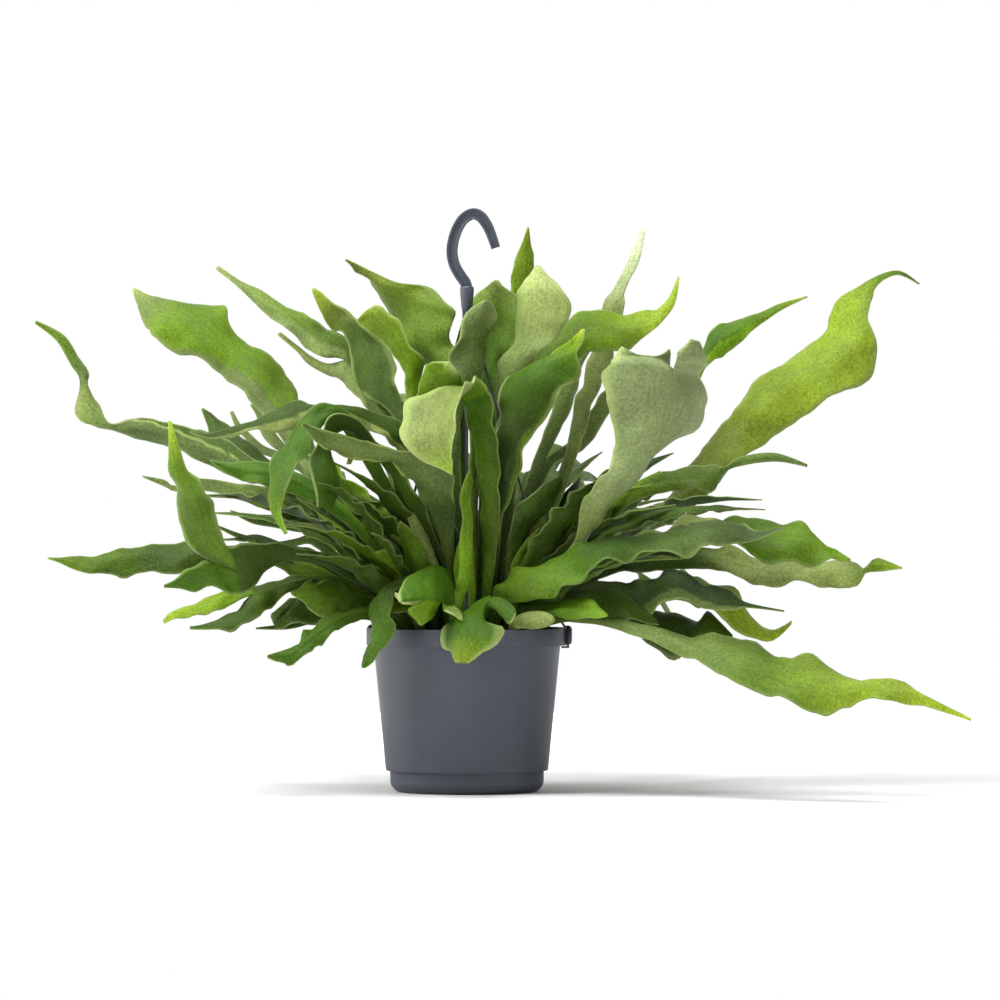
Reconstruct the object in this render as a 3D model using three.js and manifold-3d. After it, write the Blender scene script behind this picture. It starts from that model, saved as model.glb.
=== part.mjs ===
// A staghorn fern in a small hanging pot, in millimetres, with +Z up.
// The origin is the point under the top of the hook where it bears on what holds it.

import * as THREE from 'three';
import { mergeVertices } from 'three/addons/utils/BufferGeometryUtils.js';
import Module from 'manifold-3d';

const wasm = await Module();
wasm.setup();

// Driving dimensions, in millimetres. Heights are above the flat underside of the saucer, and x and y are
// from the pot's own axis.
const GAP = 0.3;
const RIM_RADIUS = 70;
const POT_HEIGHT = 114;
const RIM_HEIGHT = 12;
const BODY_TOP_RADIUS = 65;
const BODY_BOTTOM_RADIUS = 56.5;
const WALL = 1.6;
const SKIRT_BOTTOM = 15;
const POT_FLOOR = 21;
const DRAIN_HOLES = 6;
const DRAIN_RADIUS = 4;
const DRAIN_CIRCLE = 34;
const SAUCER_HEIGHT = 20.7;
const SAUCER_LIP = 17;
const SAUCER_RADIUS = 53.5;
const SAUCER_CORNER = 8;
const ROUND_SIDES = 36;

const SOIL_TOP = 104;
const SOIL_ROUNDING = 4;
const STUB_DEPTH = 11.7;
const STUB_WIDTH = 5;
const HOLE_RADIUS = 4.2;
const HOLE_SIDES = 7;
const HOLE_DEPTH = 12;

const HOOK_BEARING = { x: 3.5, z: 398.4 };
const HOOK_WIDTH = 7.8;
const HOOK_DEPTH = 5.4;
const HOOK_FLANGE = 1.7;
const HOOK_WEB = 1.8;
const HOOK_STEPS = 26;
const HUB_BOTTOM = 335;
const HUB_TOP = 352;
const HUB_RADIUS = 4.8;

const LEG_ANGLES = { right: -9, back: 82, left: 160, front: 270 };
const LEG_WIDTH = 2.2;
const LEG_THICKNESS = 1.3;
const LEG_HUB_RADIUS = 2.4;
const LEG_HUB_TOP = 340;
const LEG_BEND = 329;

const BLADE_THICKNESS = 0.9;
const STIPE_THICKNESS = 2.4;
const THINNING_LENGTH = 110;
const ROW_PITCH = 34;
const STRIP_COLUMNS = 2;
const SIGHT_DISTANCE = 4000;
const SIGHT_X = 23;
const SIGHT_Z = 203;
const FRONT_START = -46;
const FRONT_SPREAD = 1.5;

const COLOURS = {
  pot: 0x474b53,
  soil: 0x3a2c20,
  bright: 0x6f9733,
  mid: 0x567d2e,
  dark: 0x38551f,
  blue: 0x3d5540,
  grey: 0x647855,
  pale: 0x97a66f,
};

// The fronds. Each has the place of its root in the soil, its lean, a stem and, where it forks, fingers. The
// lean turns every strip about its own length: it is how far back the second edge lies, as a share of the
// width. A stem or finger is a list of stations from its base to its tip. A station is [x and z of one edge,
// x and z of the other edge, how far back its middle lies, how much further back the second edge is than the
// first]. Widths and heights are as seen from straight in front, so that a frond further back is a little
// larger than its stations say.
const FRONDS = [
  {
    name: 'frond_left_01', colour: 'dark', root: [-34, -5], lean: -0.35,
    stem: [
      [-52, 131, -48, 125, -2], [-88, 172, -81, 164, 2], [-121, 213, -114, 204, 13, 4],
      [-148, 230, -139, 212, 26, 6],
      [-172, 247, -162, 218, 36, 8], [-196, 253, -186, 230, 42, 8], [-212, 258, -202, 238, 46, 6],
      [-231, 260, -228, 245, 50, 6], [-249, 256, -247, 251, 53, 6], [-258, 271, -262, 255, 56, 6],
      [-264, 283, -273, 264, 58, 4], [-264, 292, -270, 286, 60, 5], [-271, 303, -276, 297, 62, 3],
      [-281, 318, -286, 314, 64, 2], [-300, 328, -301, 326, 66, 1],
    ],
  },
  {
    name: 'frond_left_02', colour: 'bright', root: [-24, -3], lean: -0.12,
    stem: [
      [-67, 156, -74, 152, 5], [-87, 198, -97, 193, 19], [-103, 234, -116, 227, 42],
      [-114, 262, -132, 252, 60, -4],
      [-122, 286, -147, 268, 76, -10], [-134, 304, -158, 282, 84, -12], [-152, 314, -174, 296, 92, -12],
      [-164, 323, -188, 304, 97, -12], [-168, 338, -203, 307, 101, -14], [-176, 342, -217, 317, 105, -12],
      [-207, 344, -225, 328, 112, -6], [-221, 346, -230, 340, 116, -3], [-232, 351, -233, 349, 119, -1],
    ],
  },
  {
    name: 'frond_left_03', colour: 'mid', root: [-15, 1], lean: -0.22,
    stem: [
      [-14, 150, -20, 148, 6], [-22, 205, -30, 201, 14], [-41, 252, -52, 244, 24], [-59, 286, -73, 271, 34],
      [-80, 312, -89, 288, 44],
    ],
    fingers: [
      [[-101, 326, -104, 304, 52, -4], [-116, 334, -119, 317, 60, -5], [-130, 341, -136, 330, 66, -5],
        [-143, 349, -147, 340, 72, -4], [-158, 356, -160, 352, 77, -2], [-173, 366, -175, 364, 82, -1]],
      [[-97, 298, -97, 290, 56], [-108, 303, -111, 298, 66], [-116, 309, -118, 306, 70],
        [-130, 320, -132, 318, 76]],
    ],
  },
  {
    name: 'frond_left_04', colour: 'mid', root: [-6, -4], lean: 0.35,
    stem: [[-12, 152, -18, 150, 0], [-22, 190, -29, 187, 4], [-31, 232, -39, 228, 6],
      [-36, 256, -46, 252, 10]],
    fingers: [
      [[-33, 283, -43, 278, 4], [-30, 298, -44, 290, -6], [-40, 312, -51, 303, -8],
        [-47, 326, -58, 311, -8],
        [-57, 334, -68, 318, -8], [-65, 338, -74, 325, -7], [-74, 331, -77, 328, -6]],
      [[-47, 276, -58, 268, 17], [-50, 287, -70, 275, 21], [-51, 298, -81, 281, 25, 4],
        [-56, 308, -81, 293, 29, 3],
        [-66, 318, -82, 307, 33, 2], [-76, 328, -87, 320, 37], [-84, 334, -97, 322, 42],
        [-94, 341, -101, 332, 44],
        [-102, 348, -106, 343, 46], [-107, 351, -108, 349, 47]],
    ],
  },
  {
    name: 'frond_left_05', colour: 'mid', root: [-4, -14], lean: 0.6,
    stem: [
      [-3, 150, -9, 149, -14], [-3, 190, -10, 189, -13], [-5, 232, -13, 231, -10], [-4, 262, -15, 260, -8],
      [1, 285, -24, 280, -6], [-6, 301, -33, 298, -1], [-14, 313, -43, 312, 4], [-12, 325, -52, 324, 9],
      [-10, 335, -58, 336, 13], [-19, 342, -63, 345, 17], [-33, 348, -69, 352, 20],
      [-49, 354, -74, 358, 22], [-65, 361, -78, 363, 24], [-84, 371, -85, 370, 26],
    ],
  },
  {
    name: 'frond_centre_01', colour: 'grey', root: [7, -29.5], lean: -0.5,
    stem: [
      [10, 134, 16, 134, -30], [10, 175, 21, 175, -31], [8, 203, 22, 203, -33], [5, 230, 21, 230, -38],
      [0, 256, 18, 256, -46], [-12, 273, 14, 276, -58],
    ],
    fingers: [
      [[-33, 269, -5, 287, -64], [-37, 271, -14, 295, -67], [-33, 284, -19, 298, -69],
        [-29, 297, -25, 299, -70]],
      [[-6, 282, 8, 285, -72], [-26, 272, 6, 283, -80], [-38, 261, 3, 275, -88], [-43, 250, -2, 262, -93],
        [-37, 239, -7, 247, -95], [-26, 230, -8, 237, -95], [-15, 223.5, -9.5, 228, -94],
        [-11.5, 221, -10.5, 220.5, -94]],
    ],
  },
  {
    name: 'frond_left_06', colour: 'grey', root: [-2, -34], lean: 0.25,
    stem: [
      [-6, 140, -11, 139, -38], [-8, 158, -14, 157, -41], [-9.5, 179, -20, 177, -45],
      [-9, 199, -28, 197, -51], [-9.5, 214, -38, 210, -57], [-13, 222, -43, 217, -61],
      [-30, 234, -52, 226, -66], [-60, 240, -67, 229, -73],
      [-80, 246, -90, 234, -82], [-101, 252, -102, 241, -94], [-114, 257, -115, 255, -108],
    ],
  },
  {
    name: 'frond_left_07', colour: 'mid', root: [-12, -16], lean: -0.85,
    stem: [
      [-9, 150, -15, 148, -18], [-20, 204, -29, 200, -24], [-34, 242, -43, 236, -29],
      [-47, 257, -55, 244, -34],
      [-58, 264, -67, 252, -38], [-75, 268, -81, 260, -43], [-92, 270, -99, 262, -47],
      [-106, 273, -112, 260, -50],
      [-122, 272, -128, 254, -53], [-143, 261, -146, 252, -57], [-155, 258, -160, 250, -60],
      [-178, 250, -177, 246, -64], [-193, 251, -193, 250, -66],
    ],
  },
  {
    name: 'frond_left_08', colour: 'bright', root: [-20, -22], lean: -0.5,
    stem: [
      [-28, 150, -34, 148, -24], [-42, 190, -50, 187, -30], [-62, 232, -71, 228, -39],
      [-77, 258, -86, 252, -50],
      [-92, 271, -93, 260, -57], [-110, 266, -102, 254, -64], [-124, 251, -109, 245, -72],
      [-136, 230, -119, 226, -82],
      [-139, 210, -127, 208, -90], [-137, 195, -130, 195, -95], [-127, 179, -125, 180, -99],
    ],
  },
  {
    name: 'frond_left_09', colour: 'bright', root: [-27, -12], lean: -0.5,
    stem: [
      [-44, 150, -49, 147, -12], [-78, 192, -84, 186, -12], [-106, 216, -112, 204, -12],
      [-138, 230, -139, 212, -14],
      [-155, 230, -158, 218, -14], [-166, 229, -169, 223, -15], [-179, 231, -179, 230, -16],
    ],
  },
  {
    name: 'frond_left_10', colour: 'pale', root: [-11, -28], lean: 0.85,
    stem: [
      [-11, 152, -16, 151, -32], [-22, 177, -29, 173, -36], [-29, 194, -42, 190, -41],
      [-38, 210, -52, 203, -45],
      [-48, 228, -57, 222, -49], [-66, 247, -72, 239, -56], [-83, 261, -81, 250, -63],
      [-96, 260, -88, 250, -67],
      [-103, 243, -93, 240, -70], [-107, 227, -89, 222, -73], [-105, 212, -87, 211, -76],
      [-103, 198, -92, 196, -78],
    ],
  },
  {
    name: 'frond_left_11', colour: 'dark', root: [-24, 7], lean: -0.7,
    stem: [
      [-44, 148, -49, 145, 27], [-82, 190, -88, 184, 42], [-120, 220, -127, 213, 56],
      [-138, 231, -146, 224, 66],
      [-151, 245, -162, 236, 74], [-166, 254, -176, 244, 82], [-175, 262, -181, 256, 88],
      [-184, 267, -185, 266, 92],
    ],
  },
  {
    name: 'frond_left_12', colour: 'grey', root: [-15, 11], lean: 0.5,
    stem: [[-30, 148, -35, 146, 24], [-66, 196, -72, 191, 54], [-104, 226, -112, 219, 82],
      [-124, 240, -133, 231, 96]],
    fingers: [
      [[-134, 250, -140, 244, 104], [-139, 258, -145, 253, 110], [-142, 264, -147, 262, 114],
        [-150, 270, -151, 269, 117]],
      [[-142, 241, -145, 236, 106], [-151, 249, -154, 245, 112], [-158, 256, -161, 253, 118],
        [-163, 265, -165, 264, 122]],
    ],
  },
  {
    name: 'frond_left_13', colour: 'pale', root: [-33, 5], lean: 0.25,
    stem: [
      [-56, 150, -60, 145, 10], [-92, 186, -97, 179, 21], [-114, 206, -118, 198, 32],
      [-139, 212, -144, 202, 42],
      [-166, 215, -164, 205, 48], [-187, 218, -182, 209, 52], [-204, 213, -203, 209, 54],
      [-211, 217, -210, 212, 55], [-226, 220, -226, 219, 57],
    ],
  },
  {
    name: 'frond_left_14', colour: 'mid', root: [-29, -22], lean: 0.35,
    stem: [
      [-52, 136, -55, 131, -32], [-69, 147, -71, 142, -38], [-82, 155, -83, 148, -46],
      [-98, 165, -104, 158, -56],
      [-126, 171, -128, 159, -66], [-149, 173, -143, 147, -74], [-164, 170, -156, 137, -80],
    ],
    fingers: [
      [[-170, 177, -187, 162, -86], [-177, 192, -199, 181, -90], [-182, 208, -203, 199, -93],
        [-185, 216, -205, 211, -95], [-195, 222, -208, 223, -97], [-200, 238, -208, 238, -99],
        [-206, 258, -208, 258, -101]],
      [[-178, 160, -166, 138, -84], [-189, 157, -176, 142, -87], [-197, 153, -188, 138, -89],
        [-204, 147, -199, 141, -91], [-211, 144, -211, 142, -92]],
    ],
  },
  {
    name: 'frond_left_15', colour: 'dark', root: [-44, -6], lean: -0.5,
    stem: [
      [-62, 138, -64, 132, -10], [-98, 160, -100, 152, -16], [-140, 170, -142, 160, -22],
      [-180, 173, -180, 158, -26],
      [-203, 174, -205, 151, -28], [-220, 173, -221, 154, -30], [-234, 171, -237, 150, -32],
      [-243, 169, -248, 153, -33],
      [-258, 164, -263, 152, -35], [-269, 165, -272, 154, -36], [-283, 163, -283, 159, -38],
      [-292, 163, -292, 162, -39],
    ],
  },
  {
    name: 'frond_left_16', colour: 'dark', root: [-42, 4], lean: -0.6,
    stem: [[-62, 146, -65, 141, 6], [-92, 168, -94, 161, 13], [-106, 183, -108, 173, 18]],
    fingers: [
      [[-118, 187, -119, 181, 20], [-132, 189, -134, 184, 23], [-150, 192, -150, 187, 26],
        [-165, 196, -165, 195, 28]],
      [[-120, 176, -121, 171, 22], [-136, 174, -137, 169, 26], [-152, 178, -153, 174, 30],
        [-162, 181, -163, 178, 32],
        [-175, 186, -176, 185, 34]],
    ],
  },
  {
    name: 'frond_left_17', colour: 'bright', root: [-36, -15], lean: -0.7,
    stem: [
      [-56, 134, -58, 128, -22], [-80, 148, -83, 141, -29], [-108, 151, -112, 142, -38],
      [-131, 149, -131, 135, -46], [-152, 145, -144, 124, -52],
    ],
    fingers: [
      [[-167, 141, -168, 130, -58], [-182, 135, -182, 124, -62], [-196, 130, -194, 122, -65],
        [-207, 125, -203, 121, -67], [-212, 119, -211, 117, -68]],
      [[-160, 126, -154, 118, -60], [-173, 121, -165, 114, -64], [-186, 116, -185, 113, -67],
        [-193, 115, -193, 113, -69]],
    ],
  },
  {
    name: 'frond_left_18', colour: 'dark', root: [-45, -15], lean: -0.5,
    stem: [[-62, 128, -64, 122, -24], [-90, 137, -91, 128, -36]],
    fingers: [
      [[-108, 137, -107, 129, -44], [-121, 135, -119, 124, -51], [-131, 129, -126, 120, -57],
        [-137, 123, -130, 116, -61], [-134, 115, -131, 113, -63]],
      [[-102, 125, -102, 120, -40], [-112, 120, -112, 116, -45], [-126, 117, -126, 113, -51],
        [-147, 114, -147, 113, -57]],
    ],
  },
  {
    name: 'frond_left_19', colour: 'bright', root: [-39, -24], lean: -0.4,
    stem: [
      [-54, 130, -56, 124, -34], [-70, 141, -73, 131, -43], [-87, 145, -84, 121, -53],
      [-98, 148, -94, 119, -59],
      [-110, 147, -106, 127, -64], [-119, 141, -115, 133, -67], [-123, 139, -122, 137, -68],
    ],
  },
  {
    name: 'frond_left_20', colour: 'mid', root: [-30, -32], lean: -0.5,
    stem: [
      [-42, 124, -45, 119, -42], [-62, 128, -65, 120, -53], [-80, 127, -80, 118, -62],
      [-97, 122, -94, 110, -70],
      [-112, 113, -108, 99, -76], [-119, 103, -121, 90, -80], [-130, 98, -130, 90, -83],
      [-139, 95, -139, 93, -85],
    ],
  },
  {
    name: 'frond_front_01', colour: 'mid', root: [-20, -36], lean: -0.5,
    stem: [
      [-30, 128, -24, 130, -44], [-44, 141, -36, 145, -51], [-55, 141, -43, 150, -56],
      [-67, 134, -51, 140, -61],
      [-69, 124, -53, 125, -64], [-68, 115, -52, 116, -65], [-69, 105, -54, 106, -65],
      [-71, 97, -61, 98, -64], [-74, 90, -66, 90, -63], [-73, 86, -71, 86, -63],
    ],
  },
  {
    name: 'frond_front_02', colour: 'bright', root: [-8, -43], lean: 0.7,
    stem: [
      [-16, 132, -10, 133, -48], [-30, 150, -13, 154, -57], [-38, 153, -10, 153, -66],
      [-43, 146, -7, 145, -75],
      [-44, 139, -5, 136, -80], [-43, 134, -4.5, 131, -82],
    ],
    fingers: [
      [[-48, 137, -39, 131, -82], [-50.5, 138, -49, 136.5, -83]],
      [[-41, 127, -19, 125, -84], [-36, 121, -25, 120, -86], [-33, 116, -31, 115.5, -87]],
      [[-16, 128, -3.5, 127, -85], [-9, 123.5, -2.5, 122, -88], [-4.5, 119.5, -2.5, 119, -89]],
    ],
  },
  {
    name: 'frond_front_03', colour: 'mid', root: [6, -43], lean: -0.5,
    stem: [[9, 127, 16, 127, -49], [11, 133, 19, 133, -60], [5, 133, 25, 134, -73], [1, 129, 27, 128, -77]],
    fingers: [
      [[-15, 120, 12, 121, -82], [-22, 110, 22, 113, -85], [-21, 102, 18, 104, -86], [-14, 99, 9, 98, -87],
        [-12, 93, 4, 93, -87], [-9, 89.5, 0, 89.5, -87]],
      [[17, 133.5, 26, 119.5, -82], [24, 134, 29, 117, -84], [30, 131.5, 32, 119, -86],
        [34, 127, 34, 124, -87]],
    ],
  },
  {
    name: 'frond_right_01', colour: 'bright', root: [26, -38], lean: -0.5,
    stem: [
      [38, 130, 37, 124, -44], [54, 132, 53, 124, -52], [70, 134, 66, 122, -60], [84, 135, 81, 121, -66],
      [93, 128, 92, 121, -70], [98, 123, 98, 122, -72],
    ],
  },
  {
    name: 'frond_right_02', colour: 'bright', root: [16, -34], lean: -0.85,
    stem: [
      [18, 138, 28, 128, -42], [22, 146, 42, 133, -50], [36, 157, 57, 139, -56], [56, 164, 74, 146, -60],
      [72, 169, 84, 156, -64], [88, 176, 94, 161, -66], [104, 181, 109, 164, -68],
      [121, 180, 122, 166, -71],
      [135, 185, 135, 168, -74], [148, 192, 147, 168, -76], [168, 194, 163, 171, -79],
      [190, 189, 182, 175, -82], [200, 182, 198, 175, -85], [221, 184, 221, 183, -88],
    ],
  },
  {
    name: 'frond_right_03', colour: 'dark', root: [34, -20], lean: -0.7,
    stem: [
      [52, 138, 54, 131, -26], [80, 158, 83, 150, -36], [120, 172, 122, 164, -46],
      [158, 186, 160, 172, -56],
      [188, 191, 190, 174, -62], [207, 192, 207, 162, -66], [222, 191, 224, 161, -69],
      [236, 186, 240, 161, -71], [249, 175, 253, 161, -73], [267, 162, 267, 160, -75],
    ],
  },
  {
    name: 'frond_right_04', colour: 'mid', root: [44, -10], lean: -0.5,
    stem: [
      [62, 136, 64, 129, -16], [84, 154, 87, 146, -18], [104, 166, 110, 153, -21],
      [134, 167, 136, 154, -25],
      [165, 171, 167, 156, -30], [187, 170, 190, 149, -34], [207, 163, 209, 144, -38],
      [232, 163, 232, 146, -42],
      [266, 162, 266, 142, -48], [274, 157, 274, 146, -49], [277, 156, 277, 152, -50],
      [286, 163, 288, 154, -52], [303, 156, 303, 155, -54],
    ],
  },
  {
    name: 'frond_right_05', colour: 'blue', root: [42, -20], lean: -0.4,
    stem: [
      [58, 134, 60, 127, -33], [82, 145, 84, 136, -39], [100, 147, 103, 132, -42],
      [120, 147, 119, 124, -48],
      [138, 155, 137, 132, -54], [155, 152, 154, 134, -58], [167, 145, 167, 128, -62],
      [182, 141, 182, 126, -65], [194, 132, 195, 128, -67], [221, 126, 221, 125, -70],
    ],
  },
  {
    name: 'frond_right_06', colour: 'bright', root: [47, -1], lean: -0.7,
    stem: [[64, 128, 65, 121, -4], [88, 134, 90, 124, -12], [108, 136, 110, 120, -20]],
    fingers: [
      [[130, 145, 131, 132, -26], [153, 149, 155, 133, -34], [176, 147, 171, 126, -38],
        [189, 139, 181, 121, -41],
        [199, 123, 191, 110, -43], [211, 113, 209, 105, -45], [219, 115, 219, 110, -47],
        [226, 119, 226, 117, -48]],
      [[127, 127, 125, 106, -27], [145, 125, 140, 94, -32], [157, 122, 151, 102, -35],
        [167, 126, 166, 108, -38],
        [175, 120, 174, 109, -40], [185, 109, 185, 107, -42]],
    ],
  },
  {
    name: 'frond_right_07', colour: 'bright', root: [35, -30], lean: -0.5,
    stem: [
      [52, 125, 53, 119, -40], [74, 124, 74, 118, -50], [93, 122, 93, 116, -58], [113, 119, 113, 110, -66],
      [135, 114, 134, 103, -74], [162, 109, 158, 92, -82], [187, 109, 180, 81, -90],
      [201, 107, 203, 72, -96],
      [224, 93, 228, 62, -104], [240, 98, 249, 57, -109], [261, 83, 264, 59, -114],
      [278, 79, 278, 64, -118],
      [305, 77, 305, 63, -124], [320, 67, 322, 59, -128], [351, 51, 351, 49, -134],
    ],
  },
  {
    name: 'frond_right_08', colour: 'bright', root: [38, -2], lean: -0.85,
    stem: [
      [56, 136, 60, 131, 8], [86, 164, 92, 158, 24], [116, 188, 124, 180, 40], [142, 212, 152, 197, 54],
      [158, 231, 172, 215, 62], [166, 247, 187, 229, 68, 4], [183, 265, 204, 244, 76, 5],
      [197, 283, 224, 259, 84, 6],
      [211, 300, 248, 275, 92, 6], [232, 313, 274, 291, 99, 5], [246, 322, 283, 312, 104, 3],
      [254, 336, 279, 332, 108],
      [263, 347, 281, 345, 111], [279, 357, 286, 354, 113], [300, 363, 300, 360, 115],
      [315, 354, 315, 353, 117],
    ],
  },
  {
    name: 'frond_right_09', colour: 'dark', root: [31, 3], lean: -0.7,
    stem: [
      [50, 146, 54, 142, 20], [78, 186, 84, 180, 44], [112, 232, 119, 226, 70], [140, 272, 148, 266, 92],
      [161, 304, 168, 297, 108], [171, 321, 179, 306, 114], [184, 329, 191, 314, 120],
      [204, 334, 205, 326, 128], [218, 340, 220, 336, 133], [237, 345, 237, 344, 138],
    ],
  },
  {
    name: 'frond_right_10', colour: 'grey', root: [26, -28], lean: 0.5,
    stem: [
      [38, 130, 43, 128, -34], [56, 150, 61, 146, -44], [74, 172, 80, 168, -54], [80, 193, 90, 184, -60],
      [87, 208, 104, 200, -66], [97, 221, 121, 216, -72], [108, 235, 140, 236, -78],
      [105, 256, 163, 247, -83],
      [104, 272, 173, 262, -87], [105, 287, 177, 274, -89], [106, 298, 172, 288, -91],
    ],
    fingers: [
      [[107, 304, 144, 300, -92], [110, 307, 142, 303, -93]],
      [[147, 303, 171, 296, -92], [151, 310, 169, 304, -93], [156, 315, 163, 313, -94]],
    ],
  },
  {
    name: 'frond_top_01', colour: 'pale', root: [22, 0], lean: -0.85,
    stem: [
      [36, 146, 42, 145, 10], [50, 185, 57, 184, 22], [60, 210, 67, 208, 30], [68, 238, 77, 236, 38],
      [73, 259, 83, 257, 44], [77, 281, 91, 279, 50], [86, 306, 100, 304, 56], [95, 338, 108, 337, 62],
      [101, 350, 110, 350, 64], [112, 370, 119, 369, 67], [121, 391, 124, 391, 70],
    ],
  },
  {
    name: 'frond_top_02', colour: 'mid', root: [15, -7], lean: -0.7,
    stem: [
      [19, 150, 25, 149, -4], [23, 200, 31, 199, 0], [27, 250, 37, 248, 4], [31, 285, 44, 278, 8],
      [38, 303, 54, 288, 12], [50, 317, 66, 299, 16], [68, 327, 80, 305, 20], [86, 337, 95, 308, 24],
      [107, 336, 112, 311, 28], [124, 334, 127, 319, 32], [134, 338, 138, 330, 35],
      [141, 345, 145, 341, 38], [147, 359, 148, 358, 40],
    ],
  },
  {
    name: 'frond_centre_02', colour: 'mid', root: [12, -21], lean: -0.5,
    stem: [
      [15, 150, 21, 150, -24], [17, 190, 24, 190, -28], [19, 202, 28, 199, -30], [20, 232, 35, 224, -34],
      [19, 256, 43, 246, -38], [20, 271, 54, 264, -42], [23, 287, 62, 280, -46], [30, 294, 71, 288, -48],
      [44, 299, 75, 297, -50], [57, 304, 77, 305, -52], [68, 312, 80, 314, -54], [80, 322, 82, 322, -55],
    ],
  },
  {
    name: 'frond_top_03', colour: 'dark', root: [20, -17], lean: -0.85,
    stem: [
      [22, 150, 28, 149, -18], [24, 200, 32, 199, -20], [22, 240, 36, 239, -22], [18, 274, 38, 273, -24],
      [21, 297, 46, 299, -24], [27, 316, 58, 318, -22], [31, 338, 67, 338, -18], [31, 352, 63, 352, -14],
      [42, 361, 54, 361, -11], [47, 366, 51, 366, -9],
    ],
  },
  {
    name: 'frond_top_04', colour: 'mid', root: [4, 3], lean: 0.7,
    stem: [
      [7, 160, 13, 160, 8], [12, 220, 20, 220, 16], [20, 280, 30, 280, 24], [28, 330, 40, 330, 28],
      [31, 352, 46, 353, 30], [34, 368, 47, 370, 31], [38, 380, 45, 380, 32], [42, 393, 43, 393, 33],
    ],
  },
  {
    name: 'frond_top_05', colour: 'mid', root: [5, -8], lean: -0.5,
    stem: [
      [7, 150, 13, 150, -4], [8, 200, 16, 200, 0], [9, 245, 19, 245, 5], [8, 280, 22, 281, 10],
      [4, 307, 31, 308, 13], [0, 325, 41, 325, 16], [0, 336, 39, 337, 17], [4, 347, 31, 347, 18],
      [13, 352, 25, 352, 18], [19, 356, 22, 356, 18],
    ],
  },
  {
    name: 'frond_top_06', colour: 'bright', root: [4, -26], lean: 0.85,
    stem: [
      [3, 150, 8, 150, -26], [2.5, 189, 7.5, 189, -26], [2.5, 224, 9, 224, -28], [2.5, 240, 9, 240, -30],
      [2, 255, 9, 255, -32], [-3, 280, 9, 281, -30], [-9, 303, 14, 305, -25], [-5, 317, 18, 320, -21],
      [1, 333, 21, 333, -18], [8, 339, 18, 340, -17], [12, 342, 15, 342, -17],
    ],
  },
  {
    name: 'frond_right_11', colour: 'bright', root: [33, -10], lean: -0.5,
    stem: [
      [52, 142, 56, 137, -6], [74, 166, 79, 160, -2], [91, 188, 96, 180, 2], [108, 208, 111, 198, 6],
      [127, 219, 129, 207, 10], [148, 226, 151, 211, 14], [169, 228, 170, 210, 17],
      [180, 226, 180, 222, 19, 6],
      [190, 233, 191, 227, 21], [214, 236, 215, 230, 24], [237, 228, 237, 226, 27],
    ],
  },
  {
    name: 'frond_right_12', colour: 'grey', root: [12, 4], lean: 0.5,
    stem: [[20, 150, 27, 149, 18], [34, 195, 43, 193, 36], [48, 232, 60, 228, 52]],
    fingers: [
      [[56, 256, 66, 253, 62], [65, 280, 77, 277, 70], [72, 297, 80, 295, 76], [84, 308, 86, 307, 80]],
      [[72, 244, 82, 238, 58], [84, 262, 95, 256, 64], [94, 277, 102, 272, 70], [103, 284, 105, 283, 74]],
    ],
  },
  {
    name: 'shield_frond_left', colour: 'bright', root: [-46, 14], lean: -0.4,
    stem: [
      [-54, 120, -44, 120, 14], [-66, 135, -46, 138, 15], [-71, 150, -46, 152, 16],
      [-68, 163, -50, 166, 15],
      [-62, 170, -55, 170, 15],
    ],
  },
  {
    name: 'shield_frond_right', colour: 'bright', root: [24, -9], lean: -0.12,
    stem: [
      [30, 116, 40, 115, -14], [29, 132, 50, 128, -17], [29, 150, 56, 146, -19], [31, 168, 60, 164, -20],
      [34, 182, 59, 179, -19], [40, 191, 54, 189, -18], [45, 195, 49, 194, -17],
    ],
  },
  {
    name: 'frond_back_01', colour: 'mid', root: [-4, 34], lean: -0.5,
    stem: [[-9, 150, 1, 150, 52], [-14, 190, 6, 190, 84], [-20, 218, 10, 216, 124],
      [-26, 232, 14, 228, 160]],
    fingers: [
      [[-40, 236, -20, 232, 196], [-52, 226, -38, 222, 232], [-58, 206, -50, 203, 262],
        [-60, 190, -57, 189, 275]],
      [[-14, 236, 4, 234, 198], [-12, 230, 4, 228, 236], [-8, 212, 2, 210, 268], [-5, 196, -2, 195, 284]],
      [[14, 232, 30, 228, 190], [30, 222, 44, 218, 224], [40, 204, 48, 201, 252], [46, 190, 49, 189, 266]],
    ],
  },
  {
    name: 'frond_back_02', colour: 'bright', root: [-18, 32], lean: 0.85,
    stem: [[-26, 140, -18, 142, 46], [-40, 168, -26, 172, 72], [-58, 186, -38, 192, 104],
      [-74, 192, -48, 198, 138]],
    fingers: [
      [[-92, 186, -74, 192, 170], [-104, 168, -90, 172, 202], [-110, 146, -102, 148, 226],
        [-112, 132, -109, 132, 236]],
      [[-66, 192, -50, 194, 176], [-66, 180, -52, 182, 214], [-62, 158, -52, 160, 244],
        [-58, 138, -54, 138, 256]],
    ],
  },
  {
    name: 'frond_back_03', colour: 'dark', root: [10, 30], lean: -0.7,
    stem: [[12, 150, 22, 150, 50], [20, 190, 36, 188, 84], [34, 216, 54, 211, 120],
      [48, 228, 74, 220, 152]],
    fingers: [
      [[52, 240, 68, 236, 186], [62, 238, 76, 234, 220], [72, 222, 82, 219, 250], [78, 206, 82, 205, 266]],
      [[78, 222, 96, 214, 180], [92, 208, 106, 200, 212], [100, 188, 108, 184, 238],
        [104, 172, 107, 171, 250]],
    ],
  },
  {
    name: 'frond_back_04', colour: 'mid', root: [24, 26], lean: -0.5,
    stem: [[32, 136, 40, 134, 38], [50, 156, 62, 150, 60], [72, 170, 88, 160, 88],
      [92, 176, 110, 164, 116]],
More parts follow.
